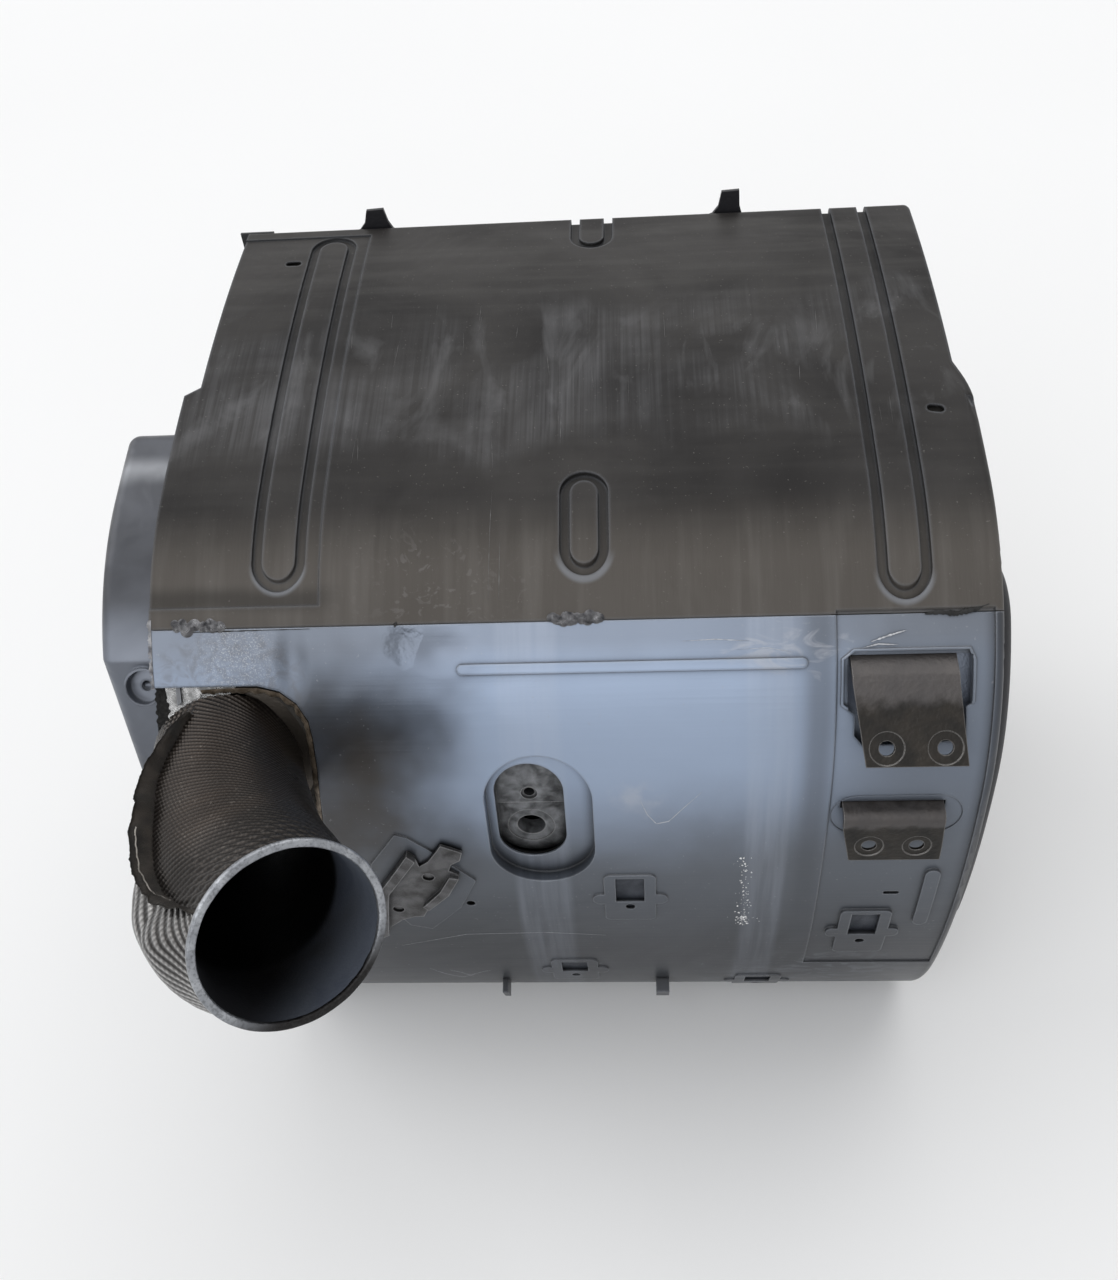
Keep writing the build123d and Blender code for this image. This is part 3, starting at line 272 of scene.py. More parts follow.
# Radius of the pipe's bore, and the radius on which the wrap's waves are laid out flat
PIPE_BORE = 0.0605
FLAT_RADIUS = 0.066

# Where the wrap's two halves meet, as distance along in metres and angle round in degrees
SEAM = (
    (0.000, 66), (0.013, 72), (0.034, 79), (0.054, 87), (0.073, 94), (0.096, 97), (0.116, 102),
    (0.135, 108), (0.163, 115), (0.195, 118), (0.227, 113), (0.262, 103),
)

# Waves of the two halves: share of the run that goes lengthwise, share that goes round, and pitch
UPPER_WEAVE = (1.0, 0.68, 0.0056)
LOWER_WEAVE = (-0.35, 0.937, 0.0064)

# Pitch of the small dimples that cross the waves
DIMPLE_PITCH = 0.0046

# Middles of the rounded lower ends of the roof's three beads, whose grooves end 23.5 mm out
BEAD_ENDS = ((-0.2485, -0.149), (0.2795, -0.166), (0.0145, -0.146))

# Two paler upright bands on the front, each from one place across to another
PALE_BANDS = ((-0.062, -0.010), (0.150, 0.188))


def top_look():
    """Sooted roof: rubbed pale in a zone across it, browner by the seam, with edges that are worn and carry
    a painted highlight, painted highlights on the bead ends and painted shade in its grooves.
    """
    look = Look("sooted_top_sheet", metallic=0.15)
    look.shader.inputs["Specular IOR Level"].default_value = 0.18
    clouds = look.noise(7.0, 6, warp=0.5)
    base = look.mottled(clouds, (0.012, 0.011, 0.011), (0.028, 0.026, 0.025))

    # Faint lines across, strongest at the rear
    across = look.noise(1.0, 5, stretch=(5, 60, 60))
    rear = look.fit(look.axis("Y"), 0.10, 0.20, smooth=True)
    lines = look.fit(across, 0.46, 0.7)
    base = look.over(base, (0.046, 0.044, 0.042), lines, look.fit(rear, 0, 1, 0.2, 0.6))

    # Streaks and smears rubbed pale in a zone across the middle
    streaks = look.noise(1.0, 4, stretch=(240, 5, 5), warp=0.4)
    patches = look.noise(5.0, 5, warp=1.0)
    zone = look.band("Y", -0.035, 0.13, 0.04, 0.03)
    rubbed = look.times(zone, look.fit(streaks, 0.38, 0.66, 0.25, 1.0), look.fit(patches, 0.46, 0.66))
    base = look.over(base, (0.130, 0.130, 0.136), rubbed, 0.5)
    smears = look.times(zone, look.fit(look.noise(13.0, 6, stretch=(1, 0.5, 0.5), warp=2.2), 0.54, 0.70))
    base = look.over(base, (0.15, 0.15, 0.155), smears, 0.32)

    # Lighter and browner by the seam, with runs, scuffed on the left, and painted shade along the step at
    # the front of the left strip
    near_seam = look.fit(look.axis("Y"), -0.095, -0.165, smooth=True)
    base = look.over(base, (0.090, 0.081, 0.072), near_seam, 0.85)
    runs = look.times(near_seam, look.fit(look.noise(1.0, 3, stretch=(60, 4, 4)), 0.50, 0.72))
    base = look.over(base, (0.16, 0.15, 0.14), runs, 0.30)
    scuffs = look.times(
        look.spot(at(-110, 470), 0.0, 0.10, (1, 1.6, 1), 0.03),
        look.fit(look.noise(60.0, 5, warp=2.5), 0.58, 0.64),
    )
    base = look.over(base, (0.24, 0.23, 0.23), scuffs, 0.22)
    left_end = look.band("X", -0.37, -0.205, 0.02)
    left_step_shade = look.times(left_end, look.band("Y", -0.184, -0.170, 0.006, 0.002))
    base = look.over(base, (0.020, 0.018, 0.016), left_step_shade, 0.6)

    # Pale specks; pale edges, partly wear and partly painted highlight; painted highlights on the lower ends
    # of the beads; and painted shade in the grooves
    specks = look.fit(look.noise(420.0, 2), 0.70, 0.76)
    base = look.over(base, (0.20, 0.19, 0.18), specks, 0.4)
    base = look.over(base, (0.19, 0.20, 0.22), look.edges(0.004), 0.5)
    for x, y in BEAD_ENDS:
        disc = look.spot((x, y, 0), 0.024, 0.028, (1, 1, 0))
        hole = look.spot((x, y, 0), 0.019, 0.023, (1, 1, 0))
        ring = look.times(disc, look.fit(hole, 0, 1, 1, 0))
        end = look.times(ring, look.fit(look.axis("Y"), y, y - 0.018, smooth=True))
        base = look.over(base, (0.20, 0.21, 0.23), end, 0.65)
    look.colour(look.painted_shade(base, (0.008, 0.008, 0.008), amount=0.6))
    look.rough(clouds, 0.56, 0.40)
    soft = look.bump(look.noise(9.0, 3, warp=0.4), 0.005, look.rounded(0.003))
    look.bump(look.noise(1.0, 4, stretch=(320, 22, 22)), 0.0002, soft)
    return look.material


def front_look():
    """Satin front, with painted light making it bright blue-grey in the middle and painted shade making it
    darker below and at its ends; stained by the elbow.
    """
    look = Look("satin_front_sheet", metallic=0.5)
    clouds = look.noise(4.0, 6, warp=0.6)

    # Painted light: brighter with height, and a painted sheen brightest in the middle
    height = look.math("ADD", look.axis("Z"), look.fit(clouds, 0.3, 0.7, -0.02, 0.02))
    base = look.mottled(clouds, (0.034, 0.037, 0.042), (0.046, 0.049, 0.056))
    base = look.over(base, (0.100, 0.112, 0.132), look.fit(height, 0.20, 0.40, smooth=True))
    shine = look.times(
        look.fit(look.axis("X"), -0.20, -0.06, 0.45, 1.0, smooth=True),
        look.fit(look.axis("X"), 0.13, 0.30, 1.0, 0.22, smooth=True),
    )
    base = look.over(base, (0.285, 0.350, 0.465), look.fit(height, 0.36, 0.50, smooth=True), shine)
    # Painted shadow under the lip of the seam
    seam_shadow = look.band("Z", 0.583, 0.62, 0.012, 0.003)
    base = look.over(base, (0.13, 0.14, 0.16), seam_shadow, 0.55)

    # Pale upright bands, painted shade along the step on the right, and painted shade on the far right edge
    bands = look.most(*(look.band("X", low, high, 0.004, 0.002, 6.0) for low, high in PALE_BANDS))
    grain = look.fit(look.noise(1.0, 3, stretch=(170, 9, 9)), 0.35, 0.7, 0.4, 1.0)
    bands = look.times(bands, grain, look.fit(look.axis("Z"), 0.10, 0.30, 0.5, 1.0))
    base = look.over(base, (0.40, 0.44, 0.52), bands, 0.20)
    right_step_shade = look.times(look.band("X", 0.198, 0.219, 0.008, 0.002, 6.0), look.band("Z", 0.22, 0.64, 0.02))
    base = look.over(base, (0.050, 0.055, 0.065), right_step_shade, 0.45)
    far_edge_shade = look.band("X", 0.349, 0.40, 0.009)
    base = look.over(base, (0.020, 0.021, 0.024), far_edge_shade, 0.85)

    # Soot, brown and a singed ring round the elbow's root
    stain = look.spot(at(-178, 640), 0.0, 0.125, (1.0, 1, 0.72), 0.035, 8.0)
    base = look.over(base, (0.026, 0.025, 0.025), stain, 0.95)
    brown = look.spot(at(-205, 690), 0.015, 0.085, (1, 1, 0.6), 0.03, 12.0)
    base = look.over(base, (0.045, 0.036, 0.026), brown, 0.7)
    rim = look.spot(at(-290, 575), 0.065, 0.085, (1, 1, 1), 0.006, 30.0)
    by_root = look.band("X", -0.36, -0.225, 0.02)
    singed = look.times(rim, by_root, look.fit(look.noise(90.0, 4, warp=1.0), 0.4, 0.65))
    base = look.over(base, (0.060, 0.045, 0.030), singed, 0.30)

    # Rubbed and smeared places
    swirls = look.noise(30.0, 5, stretch=(0.6, 1, 2.0), warp=2.0)
    rub = look.times(swirls, look.spot(at(185, 530), 0.02, 0.14, (0.8, 2, 2)))
    base = look.over(base, (0.38, 0.39, 0.42), look.fit(rub, 0.48, 0.62, 0.0, 0.45))
    low_smears = look.times(
        look.spot(at(235, 985), 0.02, 0.14, (0.8, 1, 1.6), 0.03),
        look.fit(look.noise(24.0, 5, (1, 1, 2), warp=2.5), 0.52, 0.64),
    )
    base = look.over(base, (0.22, 0.24, 0.27), low_smears, 0.25)
    smudge = look.times(
        look.spot(at(54, 668), 0.000, 0.026, (1, 1, 1), 0.010, 60.0),
        look.fit(look.noise(45.0, 3), 0.38, 0.62),
    )
    base = look.over(base, (0.40, 0.42, 0.47), smudge, 0.45)
    speckle = look.times(
        look.spot(at(-285, 530), 0.01, 0.05, (1, 1, 0.5)),
        look.fit(look.noise(800.0, 3), 0.52, 0.7),
    )
    base = look.over(base, (0.52, 0.52, 0.52), speckle, 0.40)

    # Pale specks; pale edges, partly wear and partly painted highlight; and painted shade in the corners
    specks = look.fit(look.noise(300.0, 2), 0.70, 0.76)
    base = look.over(base, (0.30, 0.31, 0.33), specks, 0.30)
    base = look.over(base, (0.40, 0.42, 0.46), look.edges(0.0025), 0.45)
    look.colour(look.painted_shade(base, (0.012, 0.012, 0.013)))
    look.rough(clouds, 0.44, 0.34)

    # Soft unevenness, three dents by the seam and fine brushing
    soft = look.bump(look.noise(5.0, 3, warp=0.5), 0.006, look.rounded(0.003))
    dents = look.most(
        look.spot(at(-138, 517), 0.0, 0.022, (1, 1, 1), 0.003, 60.0),
        look.spot(at(-108, 523), 0.0, 0.026, (0.8, 1, 1)),
        look.spot(at(-236, 530), 0.0, 0.030, (1.6, 0.7, 0.7)),
    )
    dented = look.bump(dents, -0.004, soft)
    look.bump(look.noise(1.0, 3, stretch=(8, 260, 260)), 0.00012, dented)
    return look.material


def plain_look(name, dark, light, metallic, low_rough, high_rough, scale=12.0, bump=0.0003, edge_wear_and_highlight=None):
    """Mottled surface, which may have pale edges, partly wear and partly painted highlight, with painted
    shade in its corners.
    """
    look = Look(name, metallic=metallic)
    clouds = look.noise(scale, 5, warp=0.3)
    base = look.mottled(clouds, dark, light)
    if edge_wear_and_highlight:
        # Pale edges, partly wear and partly painted highlight, and painted shade in the corners
        base = look.over(base, edge_wear_and_highlight, look.edges(), 0.8)
        base = look.painted_shade(base, tuple(0.2 * part for part in dark))
    look.colour(base)
    look.rough(clouds, high_rough, low_rough)
    look.bump(look.noise(scale * 30, 3), bump, look.rounded(0.001))
    return look.material


def bracket_look():
    """Rusty brown plate with painted highlights along its bends, and pale edges that are partly wear and
    partly painted highlight.
    """
    look = Look("bracket_plate", metallic=0.35)
    look.shader.inputs["Specular IOR Level"].default_value = 0.35
    clouds = look.noise(40.0, 6, warp=0.8)
    base = look.mix(look.fit(clouds, 0.35, 0.7), (0.007, 0.006, 0.005), (0.022, 0.018, 0.014))
    # Painted highlights along the plate's bends
    bend = look.most(
        look.times(look.band("Z", 0.553, 0.580, 0.006, 0.004, 60.0), 0.45),
        look.times(look.band("Z", 0.437, 0.452, 0.004, 0.003, 60.0), 0.4),
    )
    base = look.over(base, (0.14, 0.13, 0.13), bend)
    # Pale edges, partly wear and partly painted highlight
    look.colour(look.over(base, (0.30, 0.29, 0.28), look.edges(0.0015), 0.9))
    look.rough(clouds, 0.50, 0.34)
    look.bump(look.noise(260.0, 4), 0.0006, look.rounded())
    return look.material


def cap_look():
    """Dark pressed end cap, with a soft painted highlight across its shoulder and painted light on its
    lower, forward-facing part.
    """
    look = Look("pressed_cap", metallic=0.6)
    clouds = look.noise(6.0, 5, warp=0.6)
    base = look.mottled(clouds, (0.040, 0.042, 0.048), (0.085, 0.090, 0.104))
    # Painted highlight along the convex shoulder
    pale = look.band("Y", -0.062, -0.046, 0.012, 0.004)
    base = look.over(base, (0.28, 0.29, 0.31), pale, 0.7)
    # Painted light where the cap turns to face forward
    low = look.band("Y", -0.235, -0.190, 0.02, 0.006)
    base = look.over(base, (0.20, 0.22, 0.26), low, 0.6)
    look.colour(base)
    look.rough(clouds, 0.46, 0.30)
    look.bump(look.noise(11.0, 3, warp=0.5), 0.010, look.rounded(0.004))
    return look.material


def pipe_look():
    """Gas steel: blue-grey by the mouth, with painted shade making it black deeper in and on the unit's
    left.
    """
    look = Look("gas_steel", metallic=0.7)
    clouds = look.noise(20.0, 5, warp=0.4)
    base = look.mottled(clouds, (0.10, 0.115, 0.15), (0.19, 0.215, 0.26))
    along = look.node("ShaderNodeVectorMath", operation="DOT_PRODUCT")
    look.put(look.place, along.inputs[0])
    along.inputs[1].default_value = WAY_OUT
    along, mouth = along.outputs["Value"], MOUTH.dot(WAY_OUT)
    near = look.fit(look.axis("Y"), -0.20, -0.26)
    # Painted shade deeper in the bore
    deep_shade = look.fit(along, mouth - 0.068, mouth - 0.080, smooth=True)
    brown = look.fit(along, mouth - 0.015, mouth - 0.060)
    base = look.over(base, (0.045, 0.036, 0.028), brown, look.fit(clouds, 0.4, 0.6), 0.5)
    # Painted shadow over the bore's side towards the unit's left
    left = look.times(look.fit(look.axis("X"), -0.160, -0.222, smooth=True), near)
    base = look.over(base, (0.006, 0.005, 0.005), left, 0.92)
    look.colour(look.over(base, (0.002, 0.002, 0.002), deep_shade, near, 0.97))
    look.rough(clouds, 0.6, 0.42)
    look.bump(look.noise(500.0, 3), 0.0003, look.rounded(0.001))
    return look.material


def wrap_look(name, dark, light, shine, weave, highlight_span=None):
    """Foil with pressed waves: dark troughs and crests with painted highlights, in step with the mesh's own
    waves.

    Where highlight_span is given, the crests' painted highlights grow between those two distances along the
    elbow.
    """
    look = Look(name, metallic=0.8)
    split = look.node("ShaderNodeSeparateXYZ")
    look.put(look.node("ShaderNodeTexCoord").outputs["UV"], split.inputs["Vector"])
    lengthwise, roundwise, pitch = weave
    turned, along = split.outputs["X"], split.outputs["Y"]
    run = look.math("ADD", look.times(along, lengthwise), look.times(turned, roundwise))
    # Painted highlights on the wave crests
    crest = look.fit(look.math("SINE", look.times(run, 2 * pi / pitch)), -0.4, 1.0)
    sway = look.fit(look.noise(30.0, 3), 0.3, 0.7, -1.2, 1.2)
    across = look.math("SUBTRACT", look.times(turned, lengthwise), look.times(along, roundwise))
    phase = look.math("ADD", look.times(across, 2 * pi / DIMPLE_PITCH), sway)
    dimples = look.fit(look.math("SINE", phase), -1, 1)
    crest = look.times(crest, look.fit(dimples, 0, 1, 0.45, 1.0))
    clouds = look.noise(14.0, 5, warp=0.8)
    crest = look.times(crest, look.fit(clouds, 0.3, 0.7, 0.35, 1.0))
    if highlight_span:
        crest = look.times(crest, look.fit(along, highlight_span[0], highlight_span[1], 0.12, 1.0, smooth=True))
    fleck = look.fit(look.noise(240.0, 3), 0.64, 0.74)
    warm = look.fit(look.noise(9.0, 4, warp=1.0), 0.45, 0.7)
    browned = (dark[0] * 1.2, dark[1], dark[2] * 0.8)
    base = look.over(dark, tuple(2.2 * part for part in browned), warm, 0.6)
    base = look.over(base, light, crest)
    base = look.over(base, (0.20, 0.18, 0.16), fleck, 0.25)
    look.colour(base)
    look.rough(clouds, shine + 0.12, shine)
    look.bump(dimples, 0.00012)
    return look.material


def ring_look():
    """Satin turned ring, with painted shade on its lower side."""
    look = Look("ring_steel", metallic=0.75)
    clouds = look.noise(60.0, 5, warp=0.3)
    base = look.mottled(clouds, (0.22, 0.23, 0.25), (0.38, 0.395, 0.42))
    shade = look.fit(look.axis("Z"), 0.572, 0.540, smooth=True)
    base = look.over(base, (0.012, 0.011, 0.011), shade)
    grain = look.fit(look.noise(450.0, 3), 0.50, 0.62)
    base = look.over(base, (0.035, 0.035, 0.035), grain, 0.35)
    # Pale edges, partly wear and partly painted highlight
    look.colour(look.over(base, (0.60, 0.61, 0.62), look.edges(0.0012), 0.7))
    look.rough(clouds, 0.46, 0.30)
    look.bump(look.noise(420.0, 3), 0.0007, look.rounded(0.001))
    return look.material


SLOT_LOOKS = {
    "top_sheet": top_look(),
    "front_sheet": front_look(),
    "base_sheet": plain_look(
        "base_sheet", (0.085, 0.088, 0.095), (0.115, 0.118, 0.126), 0.55, 0.38, 0.5,
        scale=4.0, bump=0.0002, edge_wear_and_highlight=(0.26, 0.27, 0.29),
    ),
    "cap_sheet": cap_look(),
    "black_sheet": plain_look(
        "black_sheet", (0.005, 0.005, 0.007), (0.012, 0.012, 0.015), 0.2, 0.45, 0.6, scale=8.0
    ),
    "gas_steel": pipe_look(),
    "ring_steel": ring_look(),
    "foil": plain_look("foil", (0.03, 0.025, 0.02), (0.07, 0.06, 0.05), 0.7, 0.35, 0.5),
    "fibre": plain_look(
        "fibre", (0.030, 0.027, 0.024), (0.055, 0.050, 0.044), 0.0, 0.9, 1.0, scale=80.0, bump=0.001
    ),
    "honeycomb": plain_look(
        "honeycomb", (0.33, 0.29, 0.22), (0.42, 0.37, 0.30), 0.0, 0.8, 0.95, scale=120.0, bump=0.001
    ),
    "cast": plain_look(
        "cast_block", (0.060, 0.061, 0.064), (0.30, 0.31, 0.325), 0.65, 0.30, 0.5,
        scale=70.0, bump=0.001, edge_wear_and_highlight=(0.55, 0.55, 0.55),
    ),
    "bracket_steel": bracket_look(),
    "nut_steel": plain_look(
        "nut_steel", (0.020, 0.024, 0.032), (0.050, 0.056, 0.070), 0.7, 0.35, 0.5, scale=50.0
    ),
    "weld": plain_look(
        "weld_bead", (0.06, 0.06, 0.065), (0.30, 0.30, 0.31), 0.8, 0.22, 0.42, scale=140.0, bump=0.001
    ),
}
for row in frame["record"]["subparts"]:
    piece = NODES[row["node"]]
    piece.data.materials.clear()
    piece.data.materials.append(SLOT_LOOKS[row["material_slot"]])

NODES["clip_bracket"].data.materials[0] = plain_look(
    "worn_clip", (0.045, 0.044, 0.044), (0.125, 0.125, 0.130), 0.65, 0.32, 0.48,
    scale=60.0, bump=0.0008, edge_wear_and_highlight=(0.42, 0.42, 0.43),
)


def piece_from(name, points, faces, look, slot, *replaced, flat_places=None):
    """A smooth piece made from points and faces in place, which rides on the unit."""
    mesh = bpy.data.meshes.new(name)
    mesh.from_pydata([tuple(point) for point in points], [], faces)
    mesh.validate()
    mesh.update()
    if flat_places:
        layer = mesh.uv_layers.new(name="places")
        for loop in mesh.loops:
            layer.data[loop.index].uv = flat_places[loop.vertex_index]
    for polygon in mesh.polygons:
        polygon.use_smooth = True
    made = bpy.data.objects.new(name, mesh)
    bpy.context.scene.collection.objects.link(made)
    mesh.materials.append(look)
    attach(made, "root")
    if replaced:
        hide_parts(*replaced)
    return made


def grid_faces(rows, columns, start=0, ring=False):
    """Faces of a grid of points laid row by row; a ring's rows close on themselves."""
    faces = []
    for row in range(rows - 1):
        for column in range(columns if ring else columns - 1):
            following = (column + 1) % columns
            near = start + row * columns
            far = near + columns
            faces.append((near + column, near + following, far + following, far + column))
    return faces


def line_through(table, place):
    """Value of a table of (place, value) pairs at a place between them."""
    if place <= table[0][0]:
        return table[0][1]
    for (low, first), (high, second) in zip(table, table[1:]):
        if place <= high:
            return first + (second - first) * (place - low) / (high - low)
    return table[-1][1]


def on_run(run, share):
    """Point of a run of points at a share counted in points, and the way from point to point there."""
    piece = min(int(share), len(run) - 2)
    part = share - piece
    (x0, s0), (x1, s1) = run[piece], run[piece + 1]
    return x0 + (x1 - x0) * part, s0 + (s1 - s0) * part, x1 - x0, s1 - s0


def clamp(value):
    """A value held between 0 and 1."""
    return max(0.0, min(1.0, value))


def ease(share):
    """A share that starts and ends softly."""
    return share * share * (3 - 2 * share)


def wobble(x, y, z):
    """Smooth noise between -1 and 1 at a place."""
    return noise.noise(Vector((x, y, z)))


def elbow_place(along, angle, radius):
    """Point at a distance along the elbow's middle line, an angle round it and a radius from it."""
    inward = SIDE.cross(WAY_IN)
    if along < FIRST:
        centre, way = ROOT + WAY_IN * along, WAY_IN
    elif along < FIRST + ARC:
        turned = (along - FIRST) / BEND
        centre = ROOT + WAY_IN * (FIRST + BEND * sin(turned)) + inward * (BEND * (1 - cos(turned)))
        way = WAY_IN * cos(turned) + inward * sin(turned)
    else:
        centre, way = MOUTH - WAY_OUT * (ELBOW - along), WAY_OUT
    out = SIDE.cross(way) * cos(angle) + SIDE * sin(angle)
    return centre + out * radius


def upper_radius(along):
    """Radius of the wrap's upper half, which swells a little midway and widens to the ring."""
    at_root, swell, widening = 0.0640, 0.0040, 0.0030
    share = clamp(along / WRAP)
    return at_root + swell * sin(pi * min(1.0, share * 1.1)) + widening * share


def wrap_radius(along, angle):
    """Radius of the wrap, whose lower half bulges more than the upper one."""
    bulge, tuck = 0.0205, 0.0010
    share = clamp(along / WRAP)
    beyond = degrees(angle) - line_through(SEAM, along)

    # Round the elbow it grows over 26 degrees beyond the seam and fades from 206 to 246 degrees
    full = clamp(beyond / 26) * clamp((246 - degrees(angle)) / 40)

    # Along the elbow it grows from 36 to 70 per cent of the way and fades from 78 per cent on
    late = clamp((share - 0.36) / 0.34) * clamp((1.04 - share) / 0.26)
    return upper_radius(along) + (bulge * ease(late) - tuck) * ease(full)


def wave(along, angle, weave):
    """Height from -1 to 1 of a weave's waves."""
    lengthwise, roundwise, pitch = weave
    return sin((along * lengthwise + angle * FLAT_RADIUS * roundwise) / pitch * 2 * pi)


def wrap_ripple(along, angle, spot):
    """Height of the waves and crumples in the foil."""
    loose = noise.noise(spot * 16)
    crumple = noise.noise(spot * 45 + Vector((3, 1, 2)))
    if degrees(angle) > line_through(SEAM, along):
        return 0.0005 * wave(along, angle, LOWER_WEAVE) + 0.0012 * loose + 0.0005 * crumple

    # The upper half's rows are fainter under 60 degrees, and slanted ones cross them near the ring
    fade = max(0.25, min(1.0, (degrees(angle) - 5) / 55))
    near_ring = max(0.0, (along - 0.20) / 0.07)
    slanted = sin((along * 0.5 + angle * FLAT_RADIUS * 0.9) / 0.0078 * 2 * pi + 2 * loose)
    rows = fade * 0.00075 * wave(along, angle, UPPER_WEAVE) * (1 - 0.5 * min(1.0, near_ring))
    return rows + 0.0008 * near_ring * slanted + 0.0011 * loose + 0.0003 * crumple


# Angle round the wrap in degrees for each share of its columns, closest where its waves show
WRAP_COLUMNS = ((0.0, -110), (0.15, 0), (0.85, 205), (1.0, 250))


def make_wrap():
    """The two halves of the elbow's foil wrap as one sleeve, which starts under the skin."""
    rows, columns, under = 300, 300, 0.014
    points, places = [], []
    for row in range(rows):
        along = -under + (WRAP + under) * row / (rows - 1)
        for column in range(columns):
            angle = radians(line_through(WRAP_COLUMNS, column / columns))
            radius = wrap_radius(along, angle)
            spot = elbow_place(along, angle, radius)
            points.append(elbow_place(along, angle, radius + wrap_ripple(along, angle, spot)))
            places.append((angle * FLAT_RADIUS, along))
    look = wrap_look("wrap_foil", (0.010, 0.008, 0.007), (0.066, 0.058, 0.052), 0.26, UPPER_WEAVE)
    made = piece_from(
        "elbow_wrap", points, grid_faces(rows, columns, ring=True), look, "foil",
        "shield_upper", "shield_lower", "elbow_insulation", flat_places=places,
    )
    bright = wrap_look(
        "bright_wrap_foil", (0.024, 0.022, 0.021), (0.50, 0.49, 0.48), 0.18, LOWER_WEAVE, highlight_span=(0.09, 0.17)
    )
    made.data.materials.append(bright)
    for polygon in made.data.polygons:
        turned, along = places[polygon.vertices[0]]
        if line_through(SEAM, along) < degrees(turned / FLAT_RADIUS):
            polygon.material_index = 1


def rib_height(share, rise):
    """Height of the rib, which rises towards its middle."""
    return 0.004 + rise * sin(pi * min(1.0, share * 1.05)) ** 0.7


def make_wrap_rib():
    """Standing, torn rib of two thin sheets where the wrap's halves meet."""
    steps, across, foot, half_gap = 240, 8, 0.002, 0.0004
    points = []
    for side in (-1, 1):
        for step in range(steps):
            along = 0.004 + (WRAP - 0.008) * step / (steps - 1)
            share = step / (steps - 1)
            angle = radians(line_through(SEAM, along))
            torn = 0.0022 * wobble(along * 90, 4, 0) + 0.0012 * wobble(along * 400, 9, 0)
            height = max(0.002, rib_height(share, 0.0125) + torn * (0.4 + share))
            for step_out in range(across):
                out = step_out / (across - 1)
                radius = upper_radius(along) - foot + (height + foot) * out
                curl = out * out * (0.02 + 0.05 * wobble(along * 60, out * 2, 7))
                shift = curl + side * half_gap / radius
                points.append(elbow_place(along, angle + shift + 0.02 * out, radius))
    half = steps * across
    faces = grid_faces(steps, across) + grid_faces(steps, across, half)
    for step in range(steps - 1):
        tip = step * across + across - 1
        faces.append((tip, tip + across, half + tip + across, half + tip))
    look = plain_look(
        "rib_foil", (0.006, 0.005, 0.004), (0.028, 0.022, 0.017), 0.5, 0.4, 0.6, scale=60.0, bump=0.001
    )
    piece_from("wrap_rib", points, faces, look, "foil")


def make_torn_line():
    """Bright torn line near the rib's edge, on its half towards the ring."""
    steps = 140
    points = []
    for step in range(steps):
        share = step / (steps - 1)
        along = 0.128 + 0.130 * step / (steps - 1)
        angle = radians(line_through(SEAM, along)) - 0.02 - 0.02 * share
        wander = 0.0025 * wobble(along * 110, 2, 5)
        radius = upper_radius(along) + rib_height(along / WRAP, 0.0115) - 0.003 + wander
        width = 0.0010 + 0.0006 * wobble(along * 700, 1, 1)
        points.append(elbow_place(along, angle, radius))
        points.append(elbow_place(along, angle, radius + width))
    look = plain_look("torn_foil", (0.30, 0.28, 0.25), (0.55, 0.52, 0.48), 0.7, 0.25, 0.4, scale=90.0)
    piece_from("rib_torn_line", points, grid_faces(steps, 2), look, "foil")


def make_weld(node, x_from, x_to, travel, reach):
    """Lobed weld bead over the seam; its edge sinks below the skin."""
    rng = Random(int(x_to * 7))
    middle, half = (x_from + x_to) / 2, (x_to - x_from) / 2
    lumps, last = [], 15
    for lump in range(last + 1):
        share = -0.85 + 1.7 * lump / last
        drop = (1 - share * share) ** 0.5
        place = middle + share * half + rng.uniform(-1, 1)
        run = travel + rng.uniform(-0.42, 0.42) * reach * drop
        lumps.append((place, run, rng.uniform(3.4, 5.6), rng.uniform(2.8, 4.6)))
    columns, rows, margin, overrun, sunk = 110, 60, 3, 1.7, 1.5
    points = []
    for row in range(rows):
        s = travel + reach * (row / (rows - 1) - 0.5) * overrun
        for column in range(columns):
            x = x_from - margin + (x_to - x_from + 2 * margin) * column / (columns - 1)
            height = max(
                lift * exp(-(((x - place) / size) ** 2 + ((s - run) / size) ** 2))
                for place, run, size, lift in lumps
            )
            points.append(at(x, s, height - sunk + 0.25 * sin(height * 9)))
    piece_from(f"lumpy_{node}", points, grid_faces(rows, columns), SLOT_LOOKS["weld"], "weld", node)


# Section of the ring at the elbow's mouth: radius, and distance back from the mouth, in millimetres
RING = (
    (64.5, 16.5), (67.0, 10.0), (70.2, 5.0), (71.2, 3.8), (71.3, 1.6), (70.9, 0.5),
    (70.2, 0.0), (66.4, 0.0), (65.5, 0.5), (65.0, 1.8), (64.9, 4.0),
)


def make_ring():
    """Turned ring at the elbow's mouth, with a rounded lip."""
    around = 180
    inward = SIDE.cross(WAY_OUT)
    points = []
    for radius, back in RING:
        for step in range(around):
            turn = 2 * pi * step / around
            out = inward * cos(turn) + SIDE * sin(turn)
            dent = noise.noise(out * 6 + Vector((0, 0, back * 0.05))) * 0.25
            points.append(MOUTH - WAY_OUT * (back / 1000) + out * ((radius + dent) / 1000))
    faces = grid_faces(len(RING), around, ring=True)
    piece_from("mouth_ring", points, faces, SLOT_LOOKS["ring_steel"], "ring_steel", "inlet_flange")


def make_lining():
    """Inside of the inlet pipe, which opens a little towards the ring."""
    rows, around = 90, 120
    start, depth, flare_depth, flare_width = 0.0032, 0.262, 0.050, 0.0050
    points = []
    for row in range(rows):
        back = start + depth * row / (rows - 1)
        flare = max(0.0, 1 - back / flare_depth) ** 2
        for step in range(around):
            turn = 2 * pi * step / around
            ripple = 0.0003 * wobble(cos(turn) * 3, sin(turn) * 3, back * 30)
            points.append(elbow_place(ELBOW - back, turn, PIPE_BORE + flare_width * flare + ripple))
    faces = grid_faces(rows, around, ring=True)
    piece_from("pipe_lining", points, faces, SLOT_LOOKS["gas_steel"], "gas_steel", "inlet_pipe")


